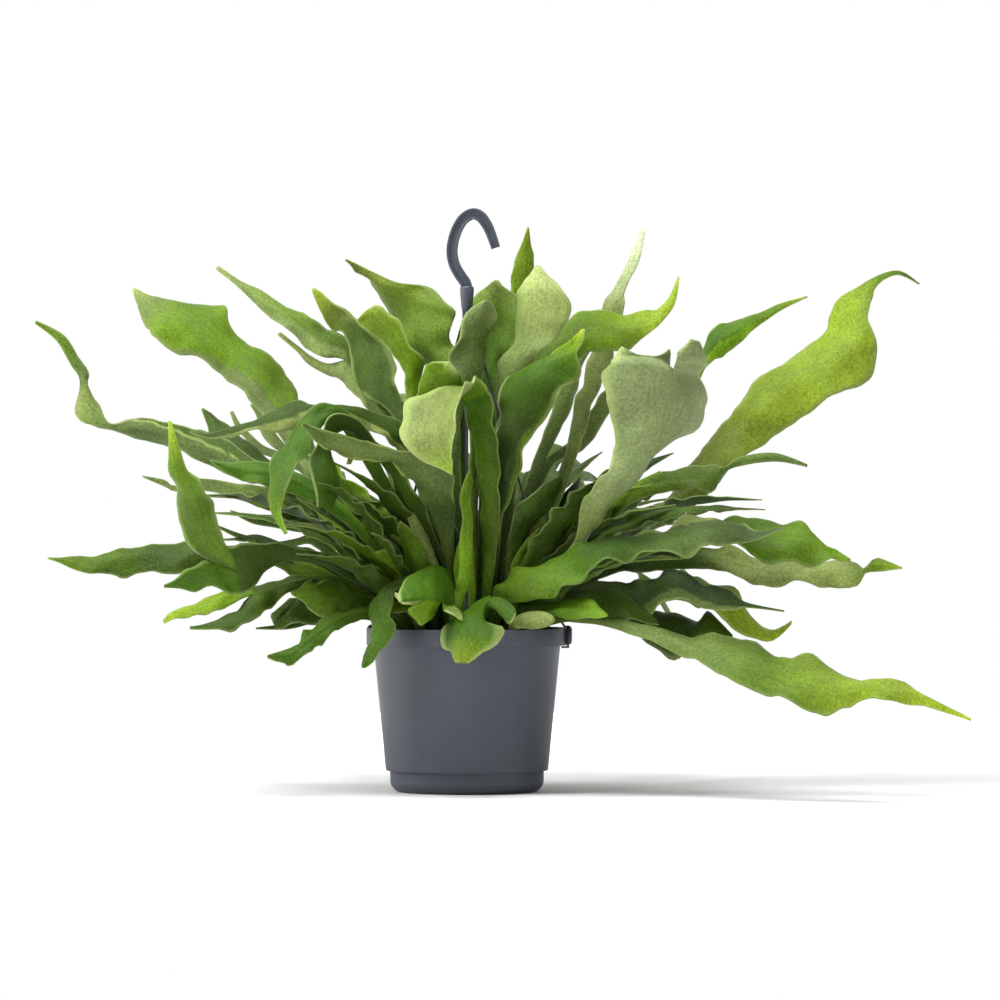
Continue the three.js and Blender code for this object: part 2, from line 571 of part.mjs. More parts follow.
    fingers: [
      [[112, 178, 124, 170, 142], [132, 170, 142, 164, 168], [148, 156, 154, 152, 190],
        [158, 144, 161, 143, 202]],
      [[112, 160, 122, 150, 138], [126, 146, 134, 138, 158], [136, 130, 142, 126, 176],
        [142, 118, 145, 117, 186]],
    ],
  },
  {
    name: 'frond_back_05', colour: 'bright', root: [39, 22], lean: -0.85,
    stem: [
      [36, 130, 48, 130, 48], [28, 138, 48, 138, 74], [20, 130, 46, 130, 100], [16, 112, 44, 112, 122],
      [16, 92, 40, 92, 136], [20, 74, 34, 74, 144], [26, 60, 29, 60, 147],
    ],
  },
  {
    name: 'frond_back_06', colour: 'mid', root: [-30, 20], lean: 0.7,
    stem: [
      [-36, 130, -26, 130, 40], [-42, 140, -24, 140, 66], [-46, 132, -22, 132, 94],
      [-48, 114, -22, 114, 118], [-46, 94, -24, 94, 134], [-40, 76, -28, 76, 142], [-34, 62, -31, 62, 146],
    ],
  },
  {
    name: 'frond_back_07', colour: 'grey', root: [-8, 22], lean: 0.5,
    stem: [[-14, 160, -6, 160, 34], [-22, 210, -10, 212, 56], [-34, 248, -14, 250, 84],
      [-46, 266, -20, 268, 112]],
    fingers: [
      [[-60, 272, -42, 276, 138], [-72, 262, -58, 264, 166], [-80, 244, -72, 245, 188],
        [-84, 228, -81, 228, 200]],
      [[-34, 276, -16, 276, 142], [-32, 268, -16, 268, 176], [-28, 250, -18, 250, 204],
        [-24, 234, -21, 234, 216]],
    ],
  },
];

// Solids

function toSolid(geometry) {
  const bare = geometry.clone();
  bare.deleteAttribute('normal');
  bare.deleteAttribute('uv');
  const merged = mergeVertices(bare, 1e-4);
  return new wasm.Manifold(new wasm.Mesh({
    numProp: 3,
    vertProperties: new Float32Array(merged.attributes.position.array),
    triVerts: new Uint32Array(merged.index.array),
  }));
}

function toGeometry(solid) {
  const mesh = solid.getMesh();
  return meshGeometry(Array.from(mesh.vertProperties), Array.from(mesh.triVerts));
}

function meshGeometry(positions, indices) {
  const geometry = new THREE.BufferGeometry();
  geometry.setAttribute('position', new THREE.Float32BufferAttribute(positions, 3));
  geometry.setIndex(indices);
  geometry.computeVertexNormals();
  return geometry;
}

// A turned solid about the Z axis, from a closed profile of [radius, height] points.
function turned(profile, sides) {
  const points = [...profile, profile[0]].map(([radius, height]) => new THREE.Vector2(radius, height));
  return toSolid(new THREE.LatheGeometry(points, sides).rotateX(Math.PI / 2));
}

// A strip of a rectangular section along a route in a vertical plane, turned to an angle about the Z axis.
// The route is a list of [distance from the axis, height].
function strip(route, width, thickness, angle) {
  const points = route.map(([x, z]) => new THREE.Vector2(x, z));
  const rows = points.map((point, i) => {
    const before = points[Math.max(i - 1, 0)];
    const after = points[Math.min(i + 1, points.length - 1)];
    const inward = point.clone().sub(before).normalize();
    const outward = after.clone().sub(point).normalize();
    if (i === 0) inward.copy(outward);
    if (i === points.length - 1) outward.copy(inward);
    const along = inward.clone().add(outward).normalize();
    const half = thickness / 2 / Math.max(0.4, along.dot(inward));
    const side = new THREE.Vector2(-along.y, along.x).multiplyScalar(half);
    return [point.clone().add(side), point.clone().sub(side)];
  });
  const outline = [...rows.map((row) => row[0]), ...rows.map((row) => row[1]).reverse()];
  const flat = new THREE.ExtrudeGeometry(new THREE.Shape(outline), { depth: width, bevelEnabled: false });
  flat.translate(0, 0, -width / 2).rotateX(Math.PI / 2).rotateZ(THREE.MathUtils.degToRad(angle));
  return toSolid(flat);
}

// Pot and saucer

// The pot's inner radius at a height.
function inside(height) {
  return THREE.MathUtils.mapLinear(
    height, SKIRT_BOTTOM, POT_HEIGHT - RIM_HEIGHT, BODY_BOTTOM_RADIUS, BODY_TOP_RADIUS) - WALL;
}

function makePot() {
  const rimBottom = POT_HEIGHT - RIM_HEIGHT;
  const shell = turned([
    [0, POT_FLOOR], [inside(POT_FLOOR), POT_FLOOR], [inside(SKIRT_BOTTOM), SKIRT_BOTTOM],
    [BODY_BOTTOM_RADIUS, SKIRT_BOTTOM], [BODY_TOP_RADIUS, rimBottom], [RIM_RADIUS - 0.6, rimBottom],
    [RIM_RADIUS, rimBottom + 0.6], [RIM_RADIUS, POT_HEIGHT - 0.8], [RIM_RADIUS - 0.8, POT_HEIGHT],
    [RIM_RADIUS - WALL, POT_HEIGHT], [RIM_RADIUS - WALL, rimBottom + WALL], [inside(rimBottom), rimBottom],
    [inside(POT_FLOOR + WALL), POT_FLOOR + WALL], [0, POT_FLOOR + WALL],
  ], ROUND_SIDES);
  let pot = shell;
  for (let i = 0; i < DRAIN_HOLES; i += 1) {
    const turn = (i / DRAIN_HOLES) * 2 * Math.PI;
    const drill = new THREE.CylinderGeometry(DRAIN_RADIUS, DRAIN_RADIUS, 6, 12).rotateX(Math.PI / 2);
    drill.translate(DRAIN_CIRCLE * Math.cos(turn), DRAIN_CIRCLE * Math.sin(turn), POT_FLOOR + WALL / 2);
    pot = pot.subtract(toSolid(drill));
  }
  return toGeometry(pot);
}

function makeSaucer() {
  const corner = [0, 0.35, 0.7, 1].map((part) => {
    const turn = (part * Math.PI) / 2;
    return [SAUCER_RADIUS - SAUCER_CORNER * (1 - Math.sin(turn)), SAUCER_CORNER * (1 - Math.cos(turn))];
  });
  const inner = corner.map(([radius, height]) => [radius - WALL, height + WALL]).reverse();
  return toGeometry(turned([
    [0, 0], ...corner, [SAUCER_RADIUS, SAUCER_LIP - 1], [inside(SAUCER_LIP) - GAP, SAUCER_LIP],
    [inside(SAUCER_HEIGHT) - GAP, SAUCER_HEIGHT],
    [SAUCER_RADIUS - WALL, SAUCER_HEIGHT], ...inner, [0, WALL],
  ], ROUND_SIDES));
}

function makeSoil() {
  const bottom = POT_FLOOR + WALL + GAP;
  const shoulder = SOIL_TOP - SOIL_ROUNDING;
  const round = inside(shoulder) - GAP;
  let soil = turned([
    [0, bottom], [inside(bottom) - GAP, bottom], [round, shoulder],
    [round - SOIL_ROUNDING / 2, SOIL_TOP], [0, SOIL_TOP],
  ], ROUND_SIDES);
  for (const { root } of FRONDS) {
    const hole = new THREE.CylinderGeometry(HOLE_RADIUS, HOLE_RADIUS, HOLE_DEPTH + 2, HOLE_SIDES);
    hole.rotateX(Math.PI / 2).translate(root[0], root[1], SOIL_TOP + 1 - HOLE_DEPTH / 2);
    soil = soil.subtract(toSolid(hole));
  }
  return toGeometry(soil);
}

// Hanger

// The hook's middle line, from its tip over the top and down to the hub, as [x, z].
const HOOK_LINE = [
  [20, 378.6], [17.6, 386], [14.2, 394], [9.6, 400.2], [4.2, 402.3], [-1.6, 399.4], [-5.8, 393.8],
  [-8.8, 386.4],
  [-10.4, 377], [-9, 367.6], [-4.8, 359.6], [-1, 354], [0, 349],
];

function makeHook() {
  const line = HOOK_LINE.map(([x, z]) => new THREE.Vector3(x, 0, z));
  const curve = new THREE.CatmullRomCurve3(line, false, 'centripetal');
  const wide = HOOK_WIDTH / 2;
  const deep = HOOK_DEPTH / 2;
  const web = HOOK_WEB / 2;
  const section = [
    [-wide, -deep], [-wide + HOOK_FLANGE, -deep], [-wide + HOOK_FLANGE, -web], [wide - HOOK_FLANGE, -web],
    [wide - HOOK_FLANGE, -deep], [wide, -deep], [wide, deep], [wide - HOOK_FLANGE, deep],
    [wide - HOOK_FLANGE, web],
    [-wide + HOOK_FLANGE, web], [-wide + HOOK_FLANGE, deep], [-wide, deep],
  ];
  const positions = [];
  for (let i = 0; i <= HOOK_STEPS; i += 1) {
    const t = i / HOOK_STEPS;
    const point = curve.getPointAt(t);
    const tangent = curve.getTangentAt(t);
    const narrow = THREE.MathUtils.lerp(0.8, 1, Math.min(1, t * 4));
    for (const [side, y] of section) {
      positions.push(point.x + tangent.z * side * narrow, y, point.z - tangent.x * side * narrow);
    }
  }
  const body = new THREE.BufferGeometry();
  body.setAttribute('position', new THREE.Float32BufferAttribute(positions, 3));
  body.setIndex(sweptFaces(section, HOOK_STEPS));
  const hub = turned([
    [0, HUB_BOTTOM], [HUB_RADIUS - 1.4, HUB_BOTTOM], [HUB_RADIUS - 0.8, HUB_BOTTOM + 3],
    [HUB_RADIUS, HUB_TOP - 4], [HUB_RADIUS, HUB_TOP - 1], [HUB_RADIUS - 1, HUB_TOP], [0, HUB_TOP],
  ], 20);
  let hook = hub.add(toSolid(body));
  for (const angle of Object.values(LEG_ANGLES)) {
    const pocket = strip(
      [[LEG_HUB_RADIUS, HUB_BOTTOM - 3], [LEG_HUB_RADIUS, LEG_HUB_TOP + GAP]], LEG_WIDTH + 2 * GAP,
      LEG_THICKNESS + 2 * GAP, angle);
    hook = hook.subtract(pocket);
  }
  return toGeometry(hook);
}

// The faces of a section swept in equal rows, with both ends closed.
function sweptFaces(section, steps) {
  const count = section.length;
  const contour = section.map(([x, y]) => new THREE.Vector2(x, y));
  const caps = THREE.ShapeUtils.triangulateShape(contour, []);
  const faces = [];
  for (let i = 0; i < steps; i += 1) {
    for (let j = 0; j < count; j += 1) {
      const a = i * count + j;
      const b = i * count + ((j + 1) % count);
      faces.push(a, b, b + count, a, b + count, a + count);
    }
  }
  for (const [a, b, c] of caps) {
    faces.push(a, c, b);
    faces.push(steps * count + a, steps * count + b, steps * count + c);
  }
  return faces;
}

function makeLeg(angle) {
  const rimTop = POT_HEIGHT + GAP + LEG_THICKNESS / 2 + 0.2;
  const outside = RIM_RADIUS + GAP + LEG_THICKNESS / 2 + 0.2;
  const under = POT_HEIGHT - RIM_HEIGHT - GAP - LEG_THICKNESS / 2 - 0.2;
  return toGeometry(strip([
    [LEG_HUB_RADIUS, LEG_HUB_TOP], [LEG_HUB_RADIUS, LEG_BEND], [RIM_RADIUS - 3.4, rimTop + 3.2],
    [RIM_RADIUS - 1.4, rimTop], [outside, rimTop], [outside, under], [BODY_TOP_RADIUS + 1.6, under],
  ], LEG_WIDTH, LEG_THICKNESS, angle));
}

// Fronds

// A point of a curve through b and c, with a before them and d after them.
function blend(a, b, c, d, t) {
  const bend = (2 * a - 5 * b + 4 * c - d) * t * t;
  return 0.5 * (2 * b + (c - a) * t + bend + (3 * b - a - 3 * c + d) * t * t * t);
}

// A station's two edges, in millimetres, moved out along the line of sight from in front.
function edgesOf([x1, z1, x2, z2, y, turn = 0], lean) {
  const deep = turn + lean * Math.hypot(x2 - x1, z2 - z1);
  return [[x1, z1, y - deep / 2], [x2, z2, y + deep / 2]].map(([x, z, depth]) => {
    const back = depth < FRONT_START ? FRONT_START + (depth - FRONT_START) * FRONT_SPREAD : depth;
    const grow = 1 + back / SIGHT_DISTANCE;
    return new THREE.Vector3(SIGHT_X + (x - SIGHT_X) * grow, back, SIGHT_Z + (z - SIGHT_Z) * grow);
  });
}

// Rows of points across a strip, through all its stations, with the row before the first one to start from.
function rowsOf(stations, before, columns) {
  const rows = [];
  const at = (i) => (i < 0 ? before : stations[Math.min(i, stations.length - 1)]);
  for (let i = 0; i < stations.length - 1; i += 1) {
    const middle = (pair) => pair[0].clone().add(pair[1]).multiplyScalar(0.5);
    const length = middle(stations[i]).distanceTo(middle(stations[i + 1]));
    const parts = Math.max(1, Math.round(length / ROW_PITCH));
    for (let part = 1; part <= parts; part += 1) {
      const edges = [0, 1].map((side) => {
        const [a, b, c, d] = [at(i - 1), at(i), at(i + 1), at(i + 2)].map((pair) => pair[side]);
        const on = (axis) => blend(a[axis], b[axis], c[axis], d[axis], part / parts);
        return new THREE.Vector3(on('x'), on('y'), on('z'));
      });
      rows.push(acrossRow(edges, columns));
    }
  }
  return rows;
}

function acrossRow([first, second], columns) {
  return Array.from({ length: columns + 1 }, (_, i) => first.clone().lerp(second, i / columns));
}

// A frond as one sheet of points and four-cornered cells, and the length from the root to each point.
function frondSheet({ root, lean = 0, stem, fingers = [] }) {
  const points = [];
  const lengths = [];
  const cells = [];
  const columns = Math.max(1, fingers.length) * STRIP_COLUMNS;
  const addRow = (row, length) => row.map((point) => {
    points.push(point);
    lengths.push(length);
    return points.length - 1;
  });
  const join = (rowA, rowB) => {
    for (let i = 0; i < rowA.length - 1; i += 1) cells.push([rowA[i], rowA[i + 1], rowB[i + 1], rowB[i]]);
  };
  const half = (stem[0][0] < stem[0][2] ? -1 : 1) * (STUB_WIDTH / 2);
  const stub = (z) => [half, -half].map((side) => new THREE.Vector3(root[0] + side, root[1], z));
  const bottom = stub(SOIL_TOP - STUB_DEPTH);
  const top = stub(SOIL_TOP + 1);
  const grow = (firstRow, firstLength, rows) => {
    let last = firstRow;
    let length = firstLength;
    for (const row of rows) {
      const middle = points[last[last.length >> 1]];
      length += middle.distanceTo(row[row.length >> 1]);
      const next = addRow(row, length);
      join(last, next);
      last = next;
    }
    return [last, length];
  };
  const start = addRow(acrossRow(bottom, columns), 0);
  const stations = [top, ...stem.map((station) => edgesOf(station, lean))];
  const [end, endLength] = grow(start, 0, [acrossRow(top, columns), ...rowsOf(stations, bottom, columns)]);
  const share = columns / Math.max(1, fingers.length);
  const beforeLast = stations[stations.length - 2];
  fingers.forEach((finger, i) => {
    const ids = end.slice(i * share, (i + 1) * share + 1);
    const part = (pair, side) => pair[0].clone().lerp(pair[1], (i + side) / fingers.length);
    const base = [points[ids[0]], points[ids[share]]];
    const before = [part(beforeLast, 0), part(beforeLast, 1)];
    const own = finger.map((station) => edgesOf(station, lean));
    grow(ids, endLength, rowsOf([base, ...own], before, share));
  });
  return { points, lengths, cells };
}

// The sheet as a closed plate: two faces with the same triangles, and walls round its edge.
function plate({ points, lengths, cells }) {
  const normals = points.map(() => new THREE.Vector3());
  const triangles = cells.flatMap(([a, b, c, d]) => [[a, b, c], [a, c, d]]);
  const edges = new Map();
  for (const [a, b, c] of triangles) {
    const normal = points[b].clone().sub(points[a]).cross(points[c].clone().sub(points[a]));
    for (const i of [a, b, c]) normals[i].add(normal);
    for (const [from, to] of [[a, b], [b, c], [c, a]]) {
      const back = `${to} ${from}`;
      if (edges.has(back)) edges.delete(back);
      else edges.set(`${from} ${to}`, [from, to]);
    }
  }
  const positions = [];
  for (const side of [0.5, -0.5]) {
    points.forEach((point, i) => {
      const thin = THREE.MathUtils.smoothstep(lengths[i], 0, THINNING_LENGTH);
      const thickness = THREE.MathUtils.lerp(STIPE_THICKNESS, BLADE_THICKNESS, thin);
      const offset = normals[i].clone().normalize().multiplyScalar(thickness * side);
      positions.push(...point.clone().add(offset).toArray());
    });
  }
  const under = points.length;
  const indices = [];
  for (const [a, b, c] of triangles) indices.push(a, b, c, a + under, c + under, b + under);
  for (const [a, b] of edges.values()) indices.push(b, a, a + under, b, a + under, b + under);
  return meshGeometry(positions, indices);
}

// The whole

function material(name, roughness) {
  const side = THREE.DoubleSide;
  return new THREE.MeshStandardMaterial({ color: COLOURS[name], roughness, metalness: 0, side });
}

const model = new THREE.Group();
model.position.set(-HOOK_BEARING.x, 0, -HOOK_BEARING.z);

function place(name, geometry, surface) {
  const mesh = new THREE.Mesh(geometry, surface);
  mesh.name = name;
  model.add(mesh);
}

place('pot', makePot(), material('pot', 0.6));
place('saucer', makeSaucer(), material('pot', 0.6));
place('soil', makeSoil(), material('soil', 0.95));
place('hanger_hook', makeHook(), material('pot', 0.5));
for (const [side, angle] of Object.entries(LEG_ANGLES)) {
  place(`hanger_leg_${side}`, makeLeg(angle), material('pot', 0.5));
}
for (const frond of FRONDS) place(frond.name, plate(frondSheet(frond)), material(frond.colour, 0.7));

const fern = new THREE.Group();
fern.add(model);
export default fern;
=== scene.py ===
"""A staghorn fern in a grey plastic hanging pot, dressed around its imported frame.

Lengths are in millimetres. Heights are above the flat underside of the saucer, and x and y are from the
pot's own axis, with +X to the right and +Y to the back. ORIGIN moves them to the frame's origin. Scales
and bump heights of materials are per metre and in metres.
"""

import math
import random

import bpy
import numpy as np
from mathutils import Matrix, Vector
from mathutils.kdtree import KDTree
from mathutils.noise import noise as value_noise


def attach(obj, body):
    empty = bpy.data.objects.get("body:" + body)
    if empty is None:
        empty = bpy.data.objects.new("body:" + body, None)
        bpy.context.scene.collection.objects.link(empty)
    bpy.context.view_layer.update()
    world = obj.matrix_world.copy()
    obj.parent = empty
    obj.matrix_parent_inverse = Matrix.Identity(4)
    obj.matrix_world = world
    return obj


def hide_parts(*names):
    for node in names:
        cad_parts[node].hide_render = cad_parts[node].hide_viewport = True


# The frame's origin is where the hook bears on what holds it.
ORIGIN = np.array([3.5, 0.0, 398.4])
MM = 0.001
FULL_TURN = 2 * math.pi

# Pot and saucer
RIM_RADIUS = 70
POT_HEIGHT = 114
RIM_HEIGHT = 12
RIM_BOTTOM = POT_HEIGHT - RIM_HEIGHT
BODY_TOP_RADIUS = 65
BODY_BOTTOM_RADIUS = 56.5
WALL = 1.6
SKIRT_BOTTOM = 15
POT_FLOOR = 21
SAUCER_HEIGHT = 20.7
SAUCER_LIP = 17
SAUCER_RADIUS = 53.5
SAUCER_CORNER = 8
CORNER_STEPS = 8
GAP = 0.3
TURNED_SIDES = 144

# Soil, with its lumps and the chips of bark on it. ANY_ANGLE is a full turn, rounded.
SOIL_TOP = 104
SOIL_ROUNDING = 4
SOIL_SIDES = 96
SOIL_RINGS = 16
SOIL_WAVES = 9
WAVE_HEIGHT = 0.55
WAVE_DROP = 2
ANY_ANGLE = 6.3
CHIP_COUNT = 260
CHIP_SIDES = 6
CHIP_SIZE = (1.5, 4.5)
CHIP_HALF_HEIGHT = 0.6

# Hook and legs. The hook's middle line runs from its tip over the top and down to the hub, as (x, z).
HOOK_WIDTH = 7.8
HOOK_DEPTH = 5.4
HOOK_FLANGE = 1.7
HOOK_WEB = 1.8
HOOK_STEPS = 8
HOOK_LINE = [
    (20, 378.6), (17.6, 386), (14.2, 394), (9.6, 400.2), (4.2, 402.3), (-1.6, 399.4), (-5.8, 393.8),
    (-8.8, 386.4), (-10.4, 377), (-9, 367.6), (-4.8, 359.6), (-1, 354), (0, 349),
]
TIP_WIDTH = 0.8
HUB_BOTTOM = 335
HUB_TOP = 352
HUB_RADIUS = 4.8
HUB_SIDES = 40
LEG_TOP = 336.4
LEG_ANGLES = (-9, 82, 160, 270)
CLIP_WIDTH = 6.4
CLIP_DEPTH = 3.4
CLIP_TOP = POT_HEIGHT + 1.6
CLIP_HEIGHT = 13

# Fronds: how they stand in the soil, how finely they are divided, and how thick they are
STUB_DEPTH = 11.7
STUB_WIDTH = 5
ROW_PITCH = 3.2
SINGLE_COLUMNS = 14
FORKED_COLUMNS = 8
FORK_SETTLING = 22
BLADE_MIDDLE = 1.2
BLADE_EDGE = 0.6
STIPE_MIDDLE = 4.4
STIPE_EDGE = 1.4
THINNING_LENGTH = 120
RIB_HEIGHT = 0.9
RIB_SHARE = 0.09
RIB_END = (120, 260)
DENT_LENGTH = 30
DENT_HEIGHT = 4.5
DENT_MARGIN = (1, 9)
DENT_START = (40, 110)

# Where the forms and the pale margin of a blade set in, as lengths along it, and from which width on
SHAPING_START = (30, 90)
RIM_START = (60, 120)
RIPPLE_WIDTHS = (5, 26)
WAVE_WIDTHS = (4, 20)

# Young fronds. Those that reach to a side are longer than the others. Each stays clear of the other fronds
# and of every YOUNG_SAMPLING-th point of the young ones before it.
YOUNG_TRIES = 4500
YOUNG_STEPS = 6
YOUNG_SAMPLING = 4
YOUNG_FRONT = 26
YOUNG_START = (14, 54)
YOUNG_HEIGHT = (24, 120)
YOUNG_LEAN = (0.1, 0.8)
YOUNG_WIDTH = (9, 22)
YOUNG_CLEARANCE = 1.6
YOUNG_SLOTS = ("bright", "mid", "mid", "dark", "dark", "dark", "blue")
REACHING_SHARE = 0.5
REACHING_HEIGHT = (90, 175)
REACHING_LEAN = (0.5, 1.15)
REACHING_WIDTH = (13, 24)

# Camera. Fronds nearer than FRONT_START are spread towards it.
SIGHT_DISTANCE = 4000
SIGHT_X = 23
SIGHT_Z = 203
FRONT_START = -46
FRONT_SPREAD = 1.5
VIEW_WIDTH = 696.5
SENSOR_WIDTH = 36
FARTHEST_SEEN = 50000

# Floor and lamps. A lamp is its name, place, width and height, and power.
FLOOR_RADIUS = 1500
FLOOR_SIDES = 96
FLOOR_GLOW = 0.85
WORLD_LIGHT = 0.1
LAMP_AIM = (0, 0, 220)
LAMPS = [
    ("key_left", (-1700, -1000, 1400), (600, 600), 39),
    ("edge_left", (-1500, 150, 250), (500, 900), 9),
    ("fill_right", (1700, -1100, 700), (900, 1300), 9),
    ("front", (-300, -2600, 700), (1200, 900), 7),
    ("top", (-200, -350, 1900), (1100, 900), 46),
    ("back", (0, 1500, 900), (4000, 2400), 26),
]

# The range that most of a noise lies in, and the soft end of a band of tone as a share of the length
NOISE_RANGE = (0.3, 0.7)
BAND_END = 0.04

# Colours, as screen colours from 0 to 255
POT_SHADES = ((52, 57, 66), (60, 65, 75))
DUST = (136, 138, 142)
HOOK_SHADES = ((58, 64, 74), (68, 74, 86))
# Painted shade: the near black of the hanger's legs and clips, for the shade among the fronds
LEG_PAINTED_SHADE = (30, 34, 40)
EARTH_SHADES = ((38, 28, 20), (98, 74, 50))
MOSS = (74, 86, 38)
FLOOR_SHADES = ((226, 226, 226), (230, 230, 230))
HAIR_COLOUR = (146, 162, 92)
RIM_COLOUR = (164, 182, 108)
# deep and shade are painted shade, used towards the frond roots for the shade deep in the crown
TONES = {
    "bright": (122, 146, 26), "vivid": (94, 128, 6), "mid": (78, 106, 10), "forest": (60, 96, 6),
    "dark": (52, 76, 8), "shade": (36, 54, 6), "deep": (22, 36, 4), "olive": (86, 100, 16),
    "brown": (54, 64, 16), "lime": (134, 158, 26), "yellow": (158, 176, 36), "blue": (50, 72, 32),
    "slate": (76, 96, 44), "grey": (98, 116, 56), "felt": (128, 144, 74), "cream": (168, 184, 110),
    "ash": (134, 150, 96), "white": (186, 200, 160),
}

# The tone of each slot's fronds, on the side that faces the front and on the other side
SLOT_TONES = {
    "bright": ("vivid", "grey"), "mid": ("mid", "grey"), "dark": ("dark", "slate"),
    "blue": ("blue", "slate"), "grey": ("grey", "felt"), "pale": ("felt", "cream"),
}


def drawn(name, slot, root, lean, stem, *fingers):
    """A frond as drawn from straight in front.

    The root is its place in the soil. The lean turns every strip about its own length: it is how far back
    the second edge lies, as a share of the width. A stem or finger is a list of stations from its base to
    its tip. A station is [x and z of one edge, x and z of the other edge, how far back its middle lies, how
    much further back the second edge is than the first].
    """
    edges = [edges_of(station, lean) for station in stem]
    branches = [[edges_of(station, lean) for station in finger] for finger in fingers]
    return dict(name=name, slot=slot, root=root, edges=edges, fingers=branches)


def edges_of(station, lean):
    """A station's two edges, moved out along the line of sight from in front."""
    x1, z1, x2, z2, y, *turned_by = station
    turn = sum(turned_by) + lean * math.hypot(x2 - x1, z2 - z1)
    edges = []
    for x, z, depth in ((x1, z1, y - turn / 2), (x2, z2, y + turn / 2)):
        back = FRONT_START + (depth - FRONT_START) * FRONT_SPREAD if depth < FRONT_START else depth
        grow = 1 + back / SIGHT_DISTANCE
        edges.append((SIGHT_X + (x - SIGHT_X) * grow, back, SIGHT_Z + (z - SIGHT_Z) * grow))
    return np.array(edges, float)


